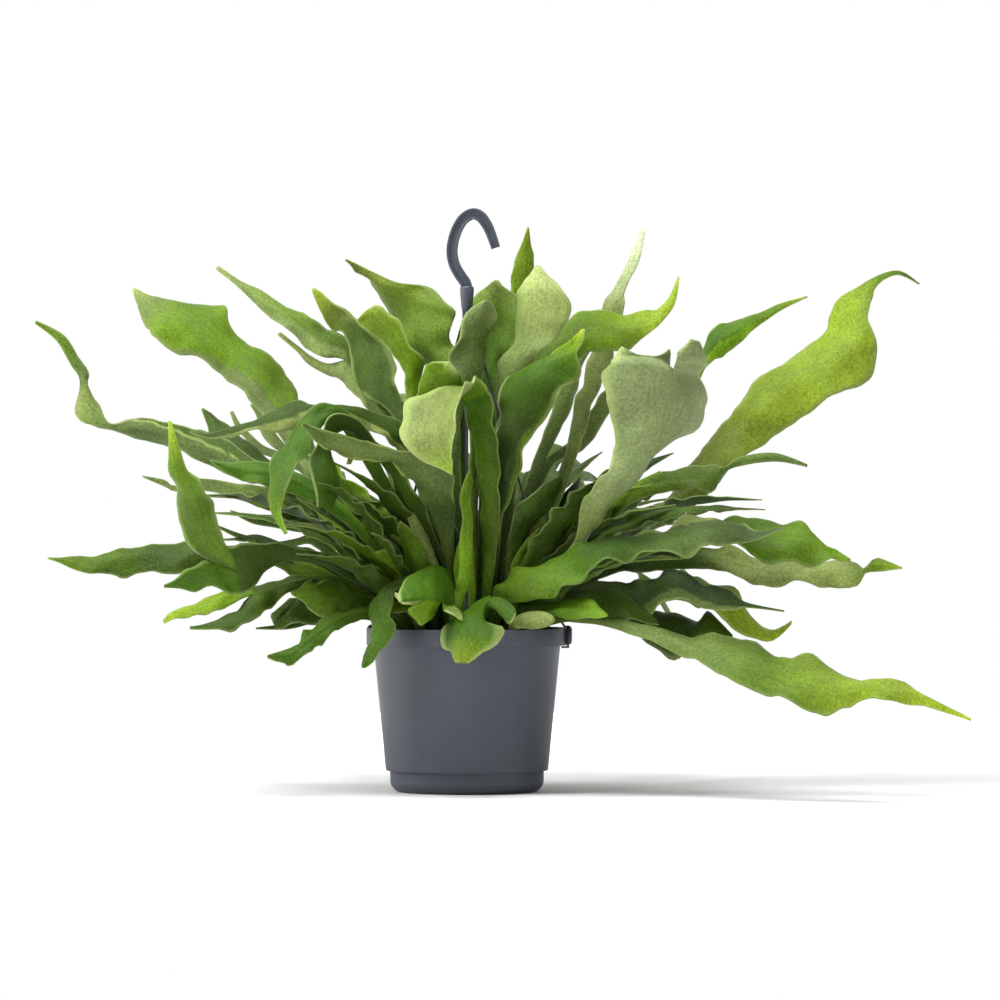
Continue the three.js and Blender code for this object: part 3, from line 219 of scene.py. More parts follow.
# The fronds, each in place of the node of its name
FRONDS = [
    drawn("frond_left_01", "dark", (-34, -5), -0.35, [
        [-52, 131, -48, 125, -2], [-88, 172, -81, 164, 2], [-121, 213, -114, 204, 13, 4],
        [-148, 230, -139, 212, 26, 6], [-172, 247, -162, 218, 36, 8], [-196, 253, -186, 230, 42, 8],
        [-212, 258, -202, 238, 46, 6], [-231, 260, -228, 245, 50, 6], [-249, 256, -247, 251, 53, 6],
        [-258, 271, -262, 255, 56, 6], [-264, 283, -273, 264, 58, 4], [-264, 292, -270, 286, 60, 5],
        [-271, 303, -276, 297, 62, 3], [-281, 318, -286, 314, 64, 2], [-300, 328, -301, 326, 66, 1]
    ]),
    drawn("frond_left_02", "bright", (-24, -3), -0.12, [
        [-67, 156, -74, 152, 5], [-87, 198, -97, 193, 19], [-103, 234, -116, 227, 42],
        [-114, 262, -132, 252, 60, -4], [-122, 286, -147, 268, 76, -10], [-134, 304, -158, 282, 84, -12],
        [-152, 314, -174, 296, 92, -12], [-164, 323, -188, 304, 97, -12], [-168, 338, -203, 307, 101, -14],
        [-176, 342, -217, 317, 105, -12], [-207, 344, -225, 328, 112, -6], [-221, 346, -230, 340, 116, -3],
        [-232, 351, -233, 349, 119, -1]
    ]),
    drawn("frond_left_03", "mid", (-15, 1), -0.22, [
        [-14, 150, -20, 148, 6], [-22, 205, -30, 201, 14], [-41, 252, -52, 244, 24],
        [-59, 286, -73, 271, 34], [-80, 312, -89, 288, 44]
    ], [
        [-101, 326, -104, 304, 52, -4], [-116, 334, -119, 317, 60, -5], [-130, 341, -136, 330, 66, -5],
        [-143, 349, -147, 340, 72, -4], [-158, 356, -160, 352, 77, -2], [-173, 366, -175, 364, 82, -1]
    ], [
        [-97, 298, -97, 290, 56], [-108, 303, -111, 298, 66], [-116, 309, -118, 306, 70],
        [-130, 320, -132, 318, 76]
    ]),
    drawn("frond_left_04", "mid", (-6, -4), 0.35, [
        [-12, 152, -18, 150, 0], [-22, 190, -29, 187, 4], [-31, 232, -39, 228, 6], [-36, 256, -46, 252, 10]
    ], [
        [-33, 283, -43, 278, 4], [-30, 298, -44, 290, -6], [-40, 312, -51, 303, -8],
        [-47, 326, -58, 311, -8], [-57, 334, -68, 318, -8], [-65, 338, -74, 325, -7],
        [-74, 331, -77, 328, -6]
    ], [
        [-47, 276, -58, 268, 17], [-50, 287, -70, 275, 21], [-51, 298, -81, 281, 25, 4],
        [-56, 308, -81, 293, 29, 3], [-66, 318, -82, 307, 33, 2], [-76, 328, -87, 320, 37],
        [-84, 334, -97, 322, 42], [-94, 341, -101, 332, 44], [-102, 348, -106, 343, 46],
        [-107, 351, -108, 349, 47]
    ]),
    drawn("frond_left_05", "mid", (-4, -14), 0.6, [
        [-3, 150, -9, 149, -14], [-3, 190, -10, 189, -13], [-5, 232, -13, 231, -10],
        [-4, 262, -15, 260, -8], [1, 285, -24, 280, -6], [-6, 301, -33, 298, -1], [-14, 313, -43, 312, 4],
        [-12, 325, -52, 324, 9], [-10, 335, -58, 336, 13], [-19, 342, -63, 345, 17],
        [-33, 348, -69, 352, 20], [-49, 354, -74, 358, 22], [-65, 361, -78, 363, 24],
        [-84, 371, -85, 370, 26]
    ]),
    drawn("frond_centre_01", "grey", (7, -29.5), -0.5, [
        [10, 134, 16, 134, -30], [10, 175, 21, 175, -31], [8, 203, 22, 203, -33], [5, 230, 21, 230, -38],
        [0, 256, 18, 256, -46], [-12, 273, 14, 276, -58]
    ], [
        [-33, 269, -5, 287, -64], [-37, 271, -14, 295, -67], [-33, 284, -19, 298, -69],
        [-29, 297, -25, 299, -70]
    ], [
        [-6, 282, 8, 285, -72], [-26, 272, 6, 283, -80], [-38, 261, 3, 275, -88], [-43, 250, -2, 262, -93],
        [-37, 239, -7, 247, -95], [-26, 230, -8, 237, -95], [-15, 223.5, -9.5, 228, -94],
        [-11.5, 221, -10.5, 220.5, -94]
    ]),
    drawn("frond_left_06", "grey", (-2, -34), 0.25, [
        [-6, 140, -11, 139, -38], [-8, 158, -14, 157, -41], [-9.5, 179, -20, 177, -45],
        [-9, 199, -28, 197, -51], [-9.5, 214, -38, 210, -57], [-13, 222, -43, 217, -61],
        [-30, 234, -52, 226, -66], [-60, 240, -67, 229, -73], [-80, 246, -90, 234, -82],
        [-101, 252, -102, 241, -94], [-114, 257, -115, 255, -108]
    ]),
    drawn("frond_left_07", "mid", (-12, -16), -0.85, [
        [-9, 150, -15, 148, -18], [-20, 204, -29, 200, -24], [-34, 242, -43, 236, -29],
        [-47, 257, -55, 244, -34], [-58, 264, -67, 252, -38], [-75, 268, -81, 260, -43],
        [-92, 270, -99, 262, -47], [-106, 273, -112, 260, -50], [-122, 272, -128, 254, -53],
        [-143, 261, -146, 252, -57], [-155, 258, -160, 250, -60], [-178, 250, -177, 246, -64],
        [-193, 251, -193, 250, -66]
    ]),
    drawn("frond_left_08", "bright", (-20, -22), -0.5, [
        [-28, 150, -34, 148, -24], [-42, 190, -50, 187, -30], [-62, 232, -71, 228, -39],
        [-77, 258, -86, 252, -50], [-92, 271, -93, 260, -57], [-110, 266, -102, 254, -64],
        [-124, 251, -109, 245, -72], [-136, 230, -119, 226, -82], [-139, 210, -127, 208, -90],
        [-137, 195, -130, 195, -95], [-127, 179, -125, 180, -99]
    ]),
    drawn("frond_left_09", "bright", (-27, -12), -0.5, [
        [-44, 150, -49, 147, -12], [-78, 192, -84, 186, -12], [-106, 216, -112, 204, -12],
        [-138, 230, -139, 212, -14], [-155, 230, -158, 218, -14], [-166, 229, -169, 223, -15],
        [-179, 231, -179, 230, -16]
    ]),
    drawn("frond_left_10", "pale", (-11, -28), 0.85, [
        [-11, 152, -16, 151, -32], [-22, 177, -29, 173, -36], [-29, 194, -42, 190, -41],
        [-38, 210, -52, 203, -45], [-48, 228, -57, 222, -49], [-66, 247, -72, 239, -56],
        [-83, 261, -81, 250, -63], [-96, 260, -88, 250, -67], [-103, 243, -93, 240, -70],
        [-107, 227, -89, 222, -73], [-105, 212, -87, 211, -76], [-103, 198, -92, 196, -78]
    ]),
    drawn("frond_left_11", "dark", (-24, 7), -0.7, [
        [-44, 148, -49, 145, 27], [-82, 190, -88, 184, 42], [-120, 220, -127, 213, 56],
        [-138, 231, -146, 224, 66], [-151, 245, -162, 236, 74], [-166, 254, -176, 244, 82],
        [-175, 262, -181, 256, 88], [-184, 267, -185, 266, 92]
    ]),
    drawn("frond_left_12", "grey", (-15, 11), 0.5, [
        [-30, 148, -35, 146, 24], [-66, 196, -72, 191, 54], [-104, 226, -112, 219, 82],
        [-124, 240, -133, 231, 96]
    ], [
        [-134, 250, -140, 244, 104], [-139, 258, -145, 253, 110], [-142, 264, -147, 262, 114],
        [-150, 270, -151, 269, 117]
    ], [
        [-142, 241, -145, 236, 106], [-151, 249, -154, 245, 112], [-158, 256, -161, 253, 118],
        [-163, 265, -165, 264, 122]
    ]),
    drawn("frond_left_13", "pale", (-33, 5), 0.25, [
        [-56, 150, -60, 145, 10], [-92, 186, -97, 179, 21], [-114, 206, -118, 198, 32],
        [-139, 212, -144, 202, 42], [-166, 215, -164, 205, 48], [-187, 218, -182, 209, 52],
        [-204, 213, -203, 209, 54], [-211, 217, -210, 212, 55], [-226, 220, -226, 219, 57]
    ]),
    drawn("frond_left_14", "mid", (-29, -22), 0.35, [
        [-52, 136, -55, 131, -32], [-69, 147, -71, 142, -38], [-82, 155, -83, 148, -46],
        [-98, 165, -104, 158, -56], [-126, 171, -128, 159, -66], [-149, 173, -143, 147, -74],
        [-164, 170, -156, 137, -80]
    ], [
        [-170, 177, -187, 162, -86], [-177, 192, -199, 181, -90], [-182, 208, -203, 199, -93],
        [-185, 216, -205, 211, -95], [-195, 222, -208, 223, -97], [-200, 238, -208, 238, -99],
        [-206, 258, -208, 258, -101]
    ], [
        [-178, 160, -166, 138, -84], [-189, 157, -176, 142, -87], [-197, 153, -188, 138, -89],
        [-204, 147, -199, 141, -91], [-211, 144, -211, 142, -92]
    ]),
    drawn("frond_left_15", "dark", (-44, -6), -0.5, [
        [-62, 138, -64, 132, -10], [-98, 160, -100, 152, -16], [-140, 170, -142, 160, -22],
        [-180, 173, -180, 158, -26], [-203, 174, -205, 151, -28], [-220, 173, -221, 154, -30],
        [-234, 171, -237, 150, -32], [-243, 169, -248, 153, -33], [-258, 164, -263, 152, -35],
        [-269, 165, -272, 154, -36], [-283, 163, -283, 159, -38], [-292, 163, -292, 162, -39]
    ]),
    drawn("frond_left_16", "dark", (-42, 4), -0.6, [
        [-62, 146, -65, 141, 6], [-92, 168, -94, 161, 13], [-106, 183, -108, 173, 18]
    ], [
        [-118, 187, -119, 181, 20], [-132, 189, -134, 184, 23], [-150, 192, -150, 187, 26],
        [-165, 196, -165, 195, 28]
    ], [
        [-120, 176, -121, 171, 22], [-136, 174, -137, 169, 26], [-152, 178, -153, 174, 30],
        [-162, 181, -163, 178, 32], [-175, 186, -176, 185, 34]
    ]),
    drawn("frond_left_17", "bright", (-36, -15), -0.7, [
        [-56, 134, -58, 128, -22], [-80, 148, -83, 141, -29], [-108, 151, -112, 142, -38],
        [-131, 149, -131, 135, -46], [-152, 145, -144, 124, -52]
    ], [
        [-167, 141, -168, 130, -58], [-182, 135, -182, 124, -62], [-196, 130, -194, 122, -65],
        [-207, 125, -203, 121, -67], [-212, 119, -211, 117, -68]
    ], [
        [-160, 126, -154, 118, -60], [-173, 121, -165, 114, -64], [-186, 116, -185, 113, -67],
        [-193, 115, -193, 113, -69]
    ]),
    drawn("frond_left_18", "dark", (-45, -15), -0.5, [
        [-62, 128, -64, 122, -24], [-90, 137, -91, 128, -36]
    ], [
        [-108, 137, -107, 129, -44], [-121, 135, -119, 124, -51], [-131, 129, -126, 120, -57],
        [-137, 123, -130, 116, -61], [-134, 115, -131, 113, -63]
    ], [
        [-102, 125, -102, 120, -40], [-112, 120, -112, 116, -45], [-126, 117, -126, 113, -51],
        [-147, 114, -147, 113, -57]
    ]),
    drawn("frond_left_19", "bright", (-39, -24), -0.4, [
        [-54, 130, -56, 124, -34], [-70, 141, -73, 131, -43], [-87, 145, -84, 121, -53],
        [-98, 148, -94, 119, -59], [-110, 147, -106, 127, -64], [-119, 141, -115, 133, -67],
        [-123, 139, -122, 137, -68]
    ]),
    drawn("frond_left_20", "mid", (-30, -32), -0.5, [
        [-42, 124, -45, 119, -42], [-62, 128, -65, 120, -53], [-80, 127, -80, 118, -62],
        [-97, 122, -94, 110, -70], [-112, 113, -108, 99, -76], [-119, 103, -121, 90, -80],
        [-130, 98, -130, 90, -83], [-139, 95, -139, 93, -85]
    ]),
    drawn("frond_front_01", "mid", (-20, -36), -0.5, [
        [-30, 128, -24, 130, -44], [-44, 141, -36, 145, -51], [-55, 141, -43, 150, -56],
        [-67, 134, -51, 140, -61], [-69, 124, -53, 125, -64], [-68, 115, -52, 116, -65],
        [-69, 105, -54, 106, -65], [-71, 97, -61, 98, -64], [-74, 90, -66, 90, -63], [-73, 86, -71, 86, -63]
    ]),
    drawn("frond_front_02", "bright", (-8, -43), 0.7, [
        [-16, 132, -10, 133, -48], [-30, 150, -13, 154, -57], [-38, 153, -10, 153, -66],
        [-43, 146, -7, 145, -75], [-44, 139, -5, 136, -80], [-43, 134, -4.5, 131, -82]
    ], [
        [-48, 137, -39, 131, -82], [-50.5, 138, -49, 136.5, -83]
    ], [
        [-41, 127, -19, 125, -84], [-36, 121, -25, 120, -86], [-33, 116, -31, 115.5, -87]
    ], [
        [-16, 128, -3.5, 127, -85], [-9, 123.5, -2.5, 122, -88], [-4.5, 119.5, -2.5, 119, -89]
    ]),
    drawn("frond_front_03", "mid", (6, -43), -0.5, [
        [9, 127, 16, 127, -49], [11, 133, 19, 133, -60], [5, 133, 25, 134, -73], [1, 129, 27, 128, -77]
    ], [
        [-15, 120, 12, 121, -82], [-22, 110, 22, 113, -85], [-21, 102, 18, 104, -86], [-14, 99, 9, 98, -87],
        [-12, 93, 4, 93, -87], [-9, 89.5, 0, 89.5, -87]
    ], [
        [17, 133.5, 26, 119.5, -82], [24, 134, 29, 117, -84], [30, 131.5, 32, 119, -86],
        [34, 127, 34, 124, -87]
    ]),
    drawn("frond_right_01", "bright", (26, -38), -0.5, [
        [38, 130, 37, 124, -44], [54, 132, 53, 124, -52], [70, 134, 66, 122, -60], [84, 135, 81, 121, -66],
        [93, 128, 92, 121, -70], [98, 123, 98, 122, -72]
    ]),
    drawn("frond_right_02", "bright", (16, -34), -0.85, [
        [18, 138, 28, 128, -42], [22, 146, 42, 133, -50], [36, 157, 57, 139, -56], [56, 164, 74, 146, -60],
        [72, 169, 84, 156, -64], [88, 176, 94, 161, -66], [104, 181, 109, 164, -68],
        [121, 180, 122, 166, -71], [135, 185, 135, 168, -74], [148, 192, 147, 168, -76],
        [168, 194, 163, 171, -79], [190, 189, 182, 175, -82], [200, 182, 198, 175, -85],
        [221, 184, 221, 183, -88]
    ]),
    drawn("frond_right_03", "dark", (34, -20), -0.7, [
        [52, 138, 54, 131, -26], [80, 158, 83, 150, -36], [120, 172, 122, 164, -46],
        [158, 186, 160, 172, -56], [188, 191, 190, 174, -62], [207, 192, 207, 162, -66],
        [222, 191, 224, 161, -69], [236, 186, 240, 161, -71], [249, 175, 253, 161, -73],
        [267, 162, 267, 160, -75]
    ]),
    drawn("frond_right_04", "mid", (44, -10), -0.5, [
        [62, 136, 64, 129, -16], [84, 154, 87, 146, -18], [104, 166, 110, 153, -21],
        [134, 167, 136, 154, -25], [165, 171, 167, 156, -30], [187, 170, 190, 149, -34],
        [207, 163, 209, 144, -38], [232, 163, 232, 146, -42], [266, 162, 266, 142, -48],
        [274, 157, 274, 146, -49], [277, 156, 277, 152, -50], [286, 163, 288, 154, -52],
        [303, 156, 303, 155, -54]
    ]),
    drawn("frond_right_05", "blue", (42, -20), -0.4, [
        [58, 134, 60, 127, -33], [82, 145, 84, 136, -39], [100, 147, 103, 132, -42],
        [120, 147, 119, 124, -48], [138, 155, 137, 132, -54], [155, 152, 154, 134, -58],
        [167, 145, 167, 128, -62], [182, 141, 182, 126, -65], [194, 132, 195, 128, -67],
        [221, 126, 221, 125, -70]
    ]),
    drawn("frond_right_06", "bright", (47, -1), -0.7, [
        [64, 128, 65, 121, -4], [88, 134, 90, 124, -12], [108, 136, 110, 120, -20]
    ], [
        [130, 145, 131, 132, -26], [153, 149, 155, 133, -34], [176, 147, 171, 126, -38],
        [189, 139, 181, 121, -41], [199, 123, 191, 110, -43], [211, 113, 209, 105, -45],
        [219, 115, 219, 110, -47], [226, 119, 226, 117, -48]
    ], [
        [127, 127, 125, 106, -27], [145, 125, 140, 94, -32], [157, 122, 151, 102, -35],
        [167, 126, 166, 108, -38], [175, 120, 174, 109, -40], [185, 109, 185, 107, -42]
    ]),
    drawn("frond_right_07", "bright", (35, -30), -0.5, [
        [52, 125, 53, 119, -40], [74, 124, 74, 118, -50], [93, 122, 93, 116, -58],
        [113, 119, 113, 110, -66], [135, 114, 134, 103, -74], [162, 109, 158, 92, -82],
        [187, 109, 180, 81, -90], [201, 107, 203, 72, -96], [224, 93, 228, 62, -104],
        [240, 98, 249, 57, -109], [261, 83, 264, 59, -114], [278, 79, 278, 64, -118],
        [305, 77, 305, 63, -124], [320, 67, 322, 59, -128], [351, 51, 351, 49, -134]
    ]),
    drawn("frond_right_08", "bright", (38, -2), -0.85, [
        [56, 136, 60, 131, 8], [86, 164, 92, 158, 24], [116, 188, 124, 180, 40], [142, 212, 152, 197, 54],
        [158, 231, 172, 215, 62], [166, 247, 187, 229, 68, 4], [183, 265, 204, 244, 76, 5],
        [197, 283, 224, 259, 84, 6], [211, 300, 248, 275, 92, 6], [232, 313, 274, 291, 99, 5],
        [246, 322, 283, 312, 104, 3], [254, 336, 279, 332, 108], [263, 347, 281, 345, 111],
        [279, 357, 286, 354, 113], [300, 363, 300, 360, 115], [315, 354, 315, 353, 117]
    ]),
    drawn("frond_right_09", "dark", (31, 3), -0.7, [
        [50, 146, 54, 142, 20], [78, 186, 84, 180, 44], [112, 232, 119, 226, 70], [140, 272, 148, 266, 92],
        [161, 304, 168, 297, 108], [171, 321, 179, 306, 114], [184, 329, 191, 314, 120],
        [204, 334, 205, 326, 128], [218, 340, 220, 336, 133], [237, 345, 237, 344, 138]
    ]),
    drawn("frond_right_10", "grey", (26, -28), 0.5, [
        [38, 130, 43, 128, -34], [56, 150, 61, 146, -44], [74, 172, 80, 168, -54], [80, 193, 90, 184, -60],
        [87, 208, 104, 200, -66], [97, 221, 121, 216, -72], [108, 235, 140, 236, -78],
        [105, 256, 163, 247, -83], [104, 272, 173, 262, -87], [105, 287, 177, 274, -89],
        [106, 298, 172, 288, -91]
    ], [
        [107, 304, 144, 300, -92], [110, 307, 142, 303, -93]
    ], [
        [147, 303, 171, 296, -92], [151, 310, 169, 304, -93], [156, 315, 163, 313, -94]
    ]),
    drawn("frond_top_01", "pale", (22, 0), -0.85, [
        [36, 146, 42, 145, 10], [50, 185, 57, 184, 22], [60, 210, 67, 208, 30], [68, 238, 77, 236, 38],
        [73, 259, 83, 257, 44], [77, 281, 91, 279, 50], [86, 306, 100, 304, 56], [95, 338, 108, 337, 62],
        [101, 350, 110, 350, 64], [112, 370, 119, 369, 67], [121, 391, 124, 391, 70]
    ]),
    drawn("frond_top_02", "mid", (15, -7), -0.7, [
        [19, 150, 25, 149, -4], [23, 200, 31, 199, 0], [27, 250, 37, 248, 4], [31, 285, 44, 278, 8],
        [38, 303, 54, 288, 12], [50, 317, 66, 299, 16], [68, 327, 80, 305, 20], [86, 337, 95, 308, 24],
        [107, 336, 112, 311, 28], [124, 334, 127, 319, 32], [134, 338, 138, 330, 35],
        [141, 345, 145, 341, 38], [147, 359, 148, 358, 40]
    ]),
    drawn("frond_centre_02", "mid", (12, -21), -0.5, [
        [15, 150, 21, 150, -24], [17, 190, 24, 190, -28], [19, 202, 28, 199, -30], [20, 232, 35, 224, -34],
        [19, 256, 43, 246, -38], [20, 271, 54, 264, -42], [23, 287, 62, 280, -46], [30, 294, 71, 288, -48],
        [44, 299, 75, 297, -50], [57, 304, 77, 305, -52], [68, 312, 80, 314, -54], [80, 322, 82, 322, -55]
    ]),
    drawn("frond_top_03", "dark", (20, -17), -0.85, [
        [22, 150, 28, 149, -18], [24, 200, 32, 199, -20], [22, 240, 36, 239, -22], [18, 274, 38, 273, -24],
        [21, 297, 46, 299, -24], [27, 316, 58, 318, -22], [31, 338, 67, 338, -18], [31, 352, 63, 352, -14],
        [42, 361, 54, 361, -11], [47, 366, 51, 366, -9]
    ]),
    drawn("frond_top_04", "mid", (4, 3), 0.7, [
        [7, 160, 13, 160, 8], [12, 220, 20, 220, 16], [20, 280, 30, 280, 24], [28, 330, 40, 330, 28],
        [31, 352, 46, 353, 30], [34, 368, 47, 370, 31], [38, 380, 45, 380, 32], [42, 393, 43, 393, 33]
    ]),
    drawn("frond_top_05", "mid", (5, -8), -0.5, [
        [7, 150, 13, 150, -4], [8, 200, 16, 200, 0], [9, 245, 19, 245, 5], [8, 280, 22, 281, 10],
        [4, 307, 31, 308, 13], [0, 325, 41, 325, 16], [0, 336, 39, 337, 17], [4, 347, 31, 347, 18],
        [13, 352, 25, 352, 18], [19, 356, 22, 356, 18]
    ]),
    drawn("frond_top_06", "bright", (4, -26), 0.85, [
        [3, 150, 8, 150, -26], [2.5, 189, 7.5, 189, -26], [2.5, 224, 9, 224, -28], [2.5, 240, 9, 240, -30],
        [2, 255, 9, 255, -32], [-3, 280, 9, 281, -30], [-9, 303, 14, 305, -25], [-5, 317, 18, 320, -21],
        [1, 333, 21, 333, -18], [8, 339, 18, 340, -17], [12, 342, 15, 342, -17]
    ]),
    drawn("frond_right_11", "bright", (33, -10), -0.5, [
        [52, 142, 56, 137, -6], [74, 166, 79, 160, -2], [91, 188, 96, 180, 2], [108, 208, 111, 198, 6],
        [127, 219, 129, 207, 10], [148, 226, 151, 211, 14], [169, 228, 170, 210, 17],
        [180, 226, 180, 222, 19, 6], [190, 233, 191, 227, 21], [214, 236, 215, 230, 24],
        [237, 228, 237, 226, 27]
    ]),
    drawn("frond_right_12", "grey", (12, 4), 0.5, [
        [20, 150, 27, 149, 18], [34, 195, 43, 193, 36], [48, 232, 60, 228, 52]
    ], [
        [56, 256, 66, 253, 62], [65, 280, 77, 277, 70], [72, 297, 80, 295, 76], [84, 308, 86, 307, 80]
    ], [
        [72, 244, 82, 238, 58], [84, 262, 95, 256, 64], [94, 277, 102, 272, 70], [103, 284, 105, 283, 74]
    ]),
    drawn("shield_frond_left", "bright", (-46, 14), -0.4, [
        [-54, 120, -44, 120, 14], [-66, 135, -46, 138, 15], [-71, 150, -46, 152, 16],
        [-68, 163, -50, 166, 15], [-62, 170, -55, 170, 15]
    ]),
    drawn("shield_frond_right", "bright", (24, -9), -0.12, [
        [30, 116, 40, 115, -14], [29, 132, 50, 128, -17], [29, 150, 56, 146, -19], [31, 168, 60, 164, -20],
        [34, 182, 59, 179, -19], [40, 191, 54, 189, -18], [45, 195, 49, 194, -17]
    ]),
    drawn("frond_back_01", "mid", (-4, 34), -0.5, [
        [-9, 150, 1, 150, 52], [-14, 190, 6, 190, 84], [-20, 218, 10, 216, 124], [-26, 232, 14, 228, 160]
    ], [
        [-40, 236, -20, 232, 196], [-52, 226, -38, 222, 232], [-58, 206, -50, 203, 262],
        [-60, 190, -57, 189, 275]
    ], [
        [-14, 236, 4, 234, 198], [-12, 230, 4, 228, 236], [-8, 212, 2, 210, 268], [-5, 196, -2, 195, 284]
    ], [
        [14, 232, 30, 228, 190], [30, 222, 44, 218, 224], [40, 204, 48, 201, 252], [46, 190, 49, 189, 266]
    ]),
    drawn("frond_back_02", "bright", (-18, 32), 0.85, [
        [-26, 140, -18, 142, 46], [-40, 168, -26, 172, 72], [-58, 186, -38, 192, 104],
        [-74, 192, -48, 198, 138]
    ], [
        [-92, 186, -74, 192, 170], [-104, 168, -90, 172, 202], [-110, 146, -102, 148, 226],
        [-112, 132, -109, 132, 236]
    ], [
        [-66, 192, -50, 194, 176], [-66, 180, -52, 182, 214], [-62, 158, -52, 160, 244],
        [-58, 138, -54, 138, 256]
    ]),
    drawn("frond_back_03", "dark", (10, 30), -0.7, [
        [12, 150, 22, 150, 50], [20, 190, 36, 188, 84], [34, 216, 54, 211, 120], [48, 228, 74, 220, 152]
    ], [
        [52, 240, 68, 236, 186], [62, 238, 76, 234, 220], [72, 222, 82, 219, 250], [78, 206, 82, 205, 266]
    ], [
        [78, 222, 96, 214, 180], [92, 208, 106, 200, 212], [100, 188, 108, 184, 238],
        [104, 172, 107, 171, 250]
    ]),
    drawn("frond_back_04", "mid", (24, 26), -0.5, [
        [32, 136, 40, 134, 38], [50, 156, 62, 150, 60], [72, 170, 88, 160, 88], [92, 176, 110, 164, 116]
    ], [
        [112, 178, 124, 170, 142], [132, 170, 142, 164, 168], [148, 156, 154, 152, 190],
        [158, 144, 161, 143, 202]
    ], [
        [112, 160, 122, 150, 138], [126, 146, 134, 138, 158], [136, 130, 142, 126, 176],
        [142, 118, 145, 117, 186]
    ]),
    drawn("frond_back_05", "bright", (39, 22), -0.85, [
        [36, 130, 48, 130, 48], [28, 138, 48, 138, 74], [20, 130, 46, 130, 100], [16, 112, 44, 112, 122],
        [16, 92, 40, 92, 136], [20, 74, 34, 74, 144], [26, 60, 29, 60, 147]
    ]),
    drawn("frond_back_06", "mid", (-30, 20), 0.7, [
        [-36, 130, -26, 130, 40], [-42, 140, -24, 140, 66], [-46, 132, -22, 132, 94],
        [-48, 114, -22, 114, 118], [-46, 94, -24, 94, 134], [-40, 76, -28, 76, 142], [-34, 62, -31, 62, 146]
    ]),
    drawn("frond_back_07", "grey", (-8, 22), 0.5, [
        [-14, 160, -6, 160, 34], [-22, 210, -10, 212, 56], [-34, 248, -14, 250, 84],
        [-46, 266, -20, 268, 112]
    ], [
        [-60, 272, -42, 276, 138], [-72, 262, -58, 264, 166], [-80, 244, -72, 245, 188],
        [-84, 228, -81, 228, 200]
    ], [
        [-34, 276, -16, 276, 142], [-32, 268, -16, 268, 176], [-28, 250, -18, 250, 204],
        [-24, 234, -21, 234, 216]
    ]),
]

# How each frond looks. cup, ripple (height, length), wave and teeth shape the blade and its outline. rim and
# hair say how pale the margin and how thick the pale hairs are. tones are tones and their places along the
# frond, from 0 to 1, on the side that faces the front. back_tones are those of the other side, and with
# both_sides it has the same as the front. finger_tones give single fingers tones of their own, by number.
# bands are strips on the front side: (edge, shares of the width at start, middle and end, tone, from, to).
# The deep and shade tones towards a frond's root are painted shade, for the shade in the crown.
USUAL_LOOK = dict(cup=0.14, ripple=(5, 44), wave=0.7, teeth=21, rim=0.4, hair=0.25, both_sides=False)
YOUNG_LOOK = dict(ripple=(4, 24), wave=0.9, teeth=17, rim=0.3)

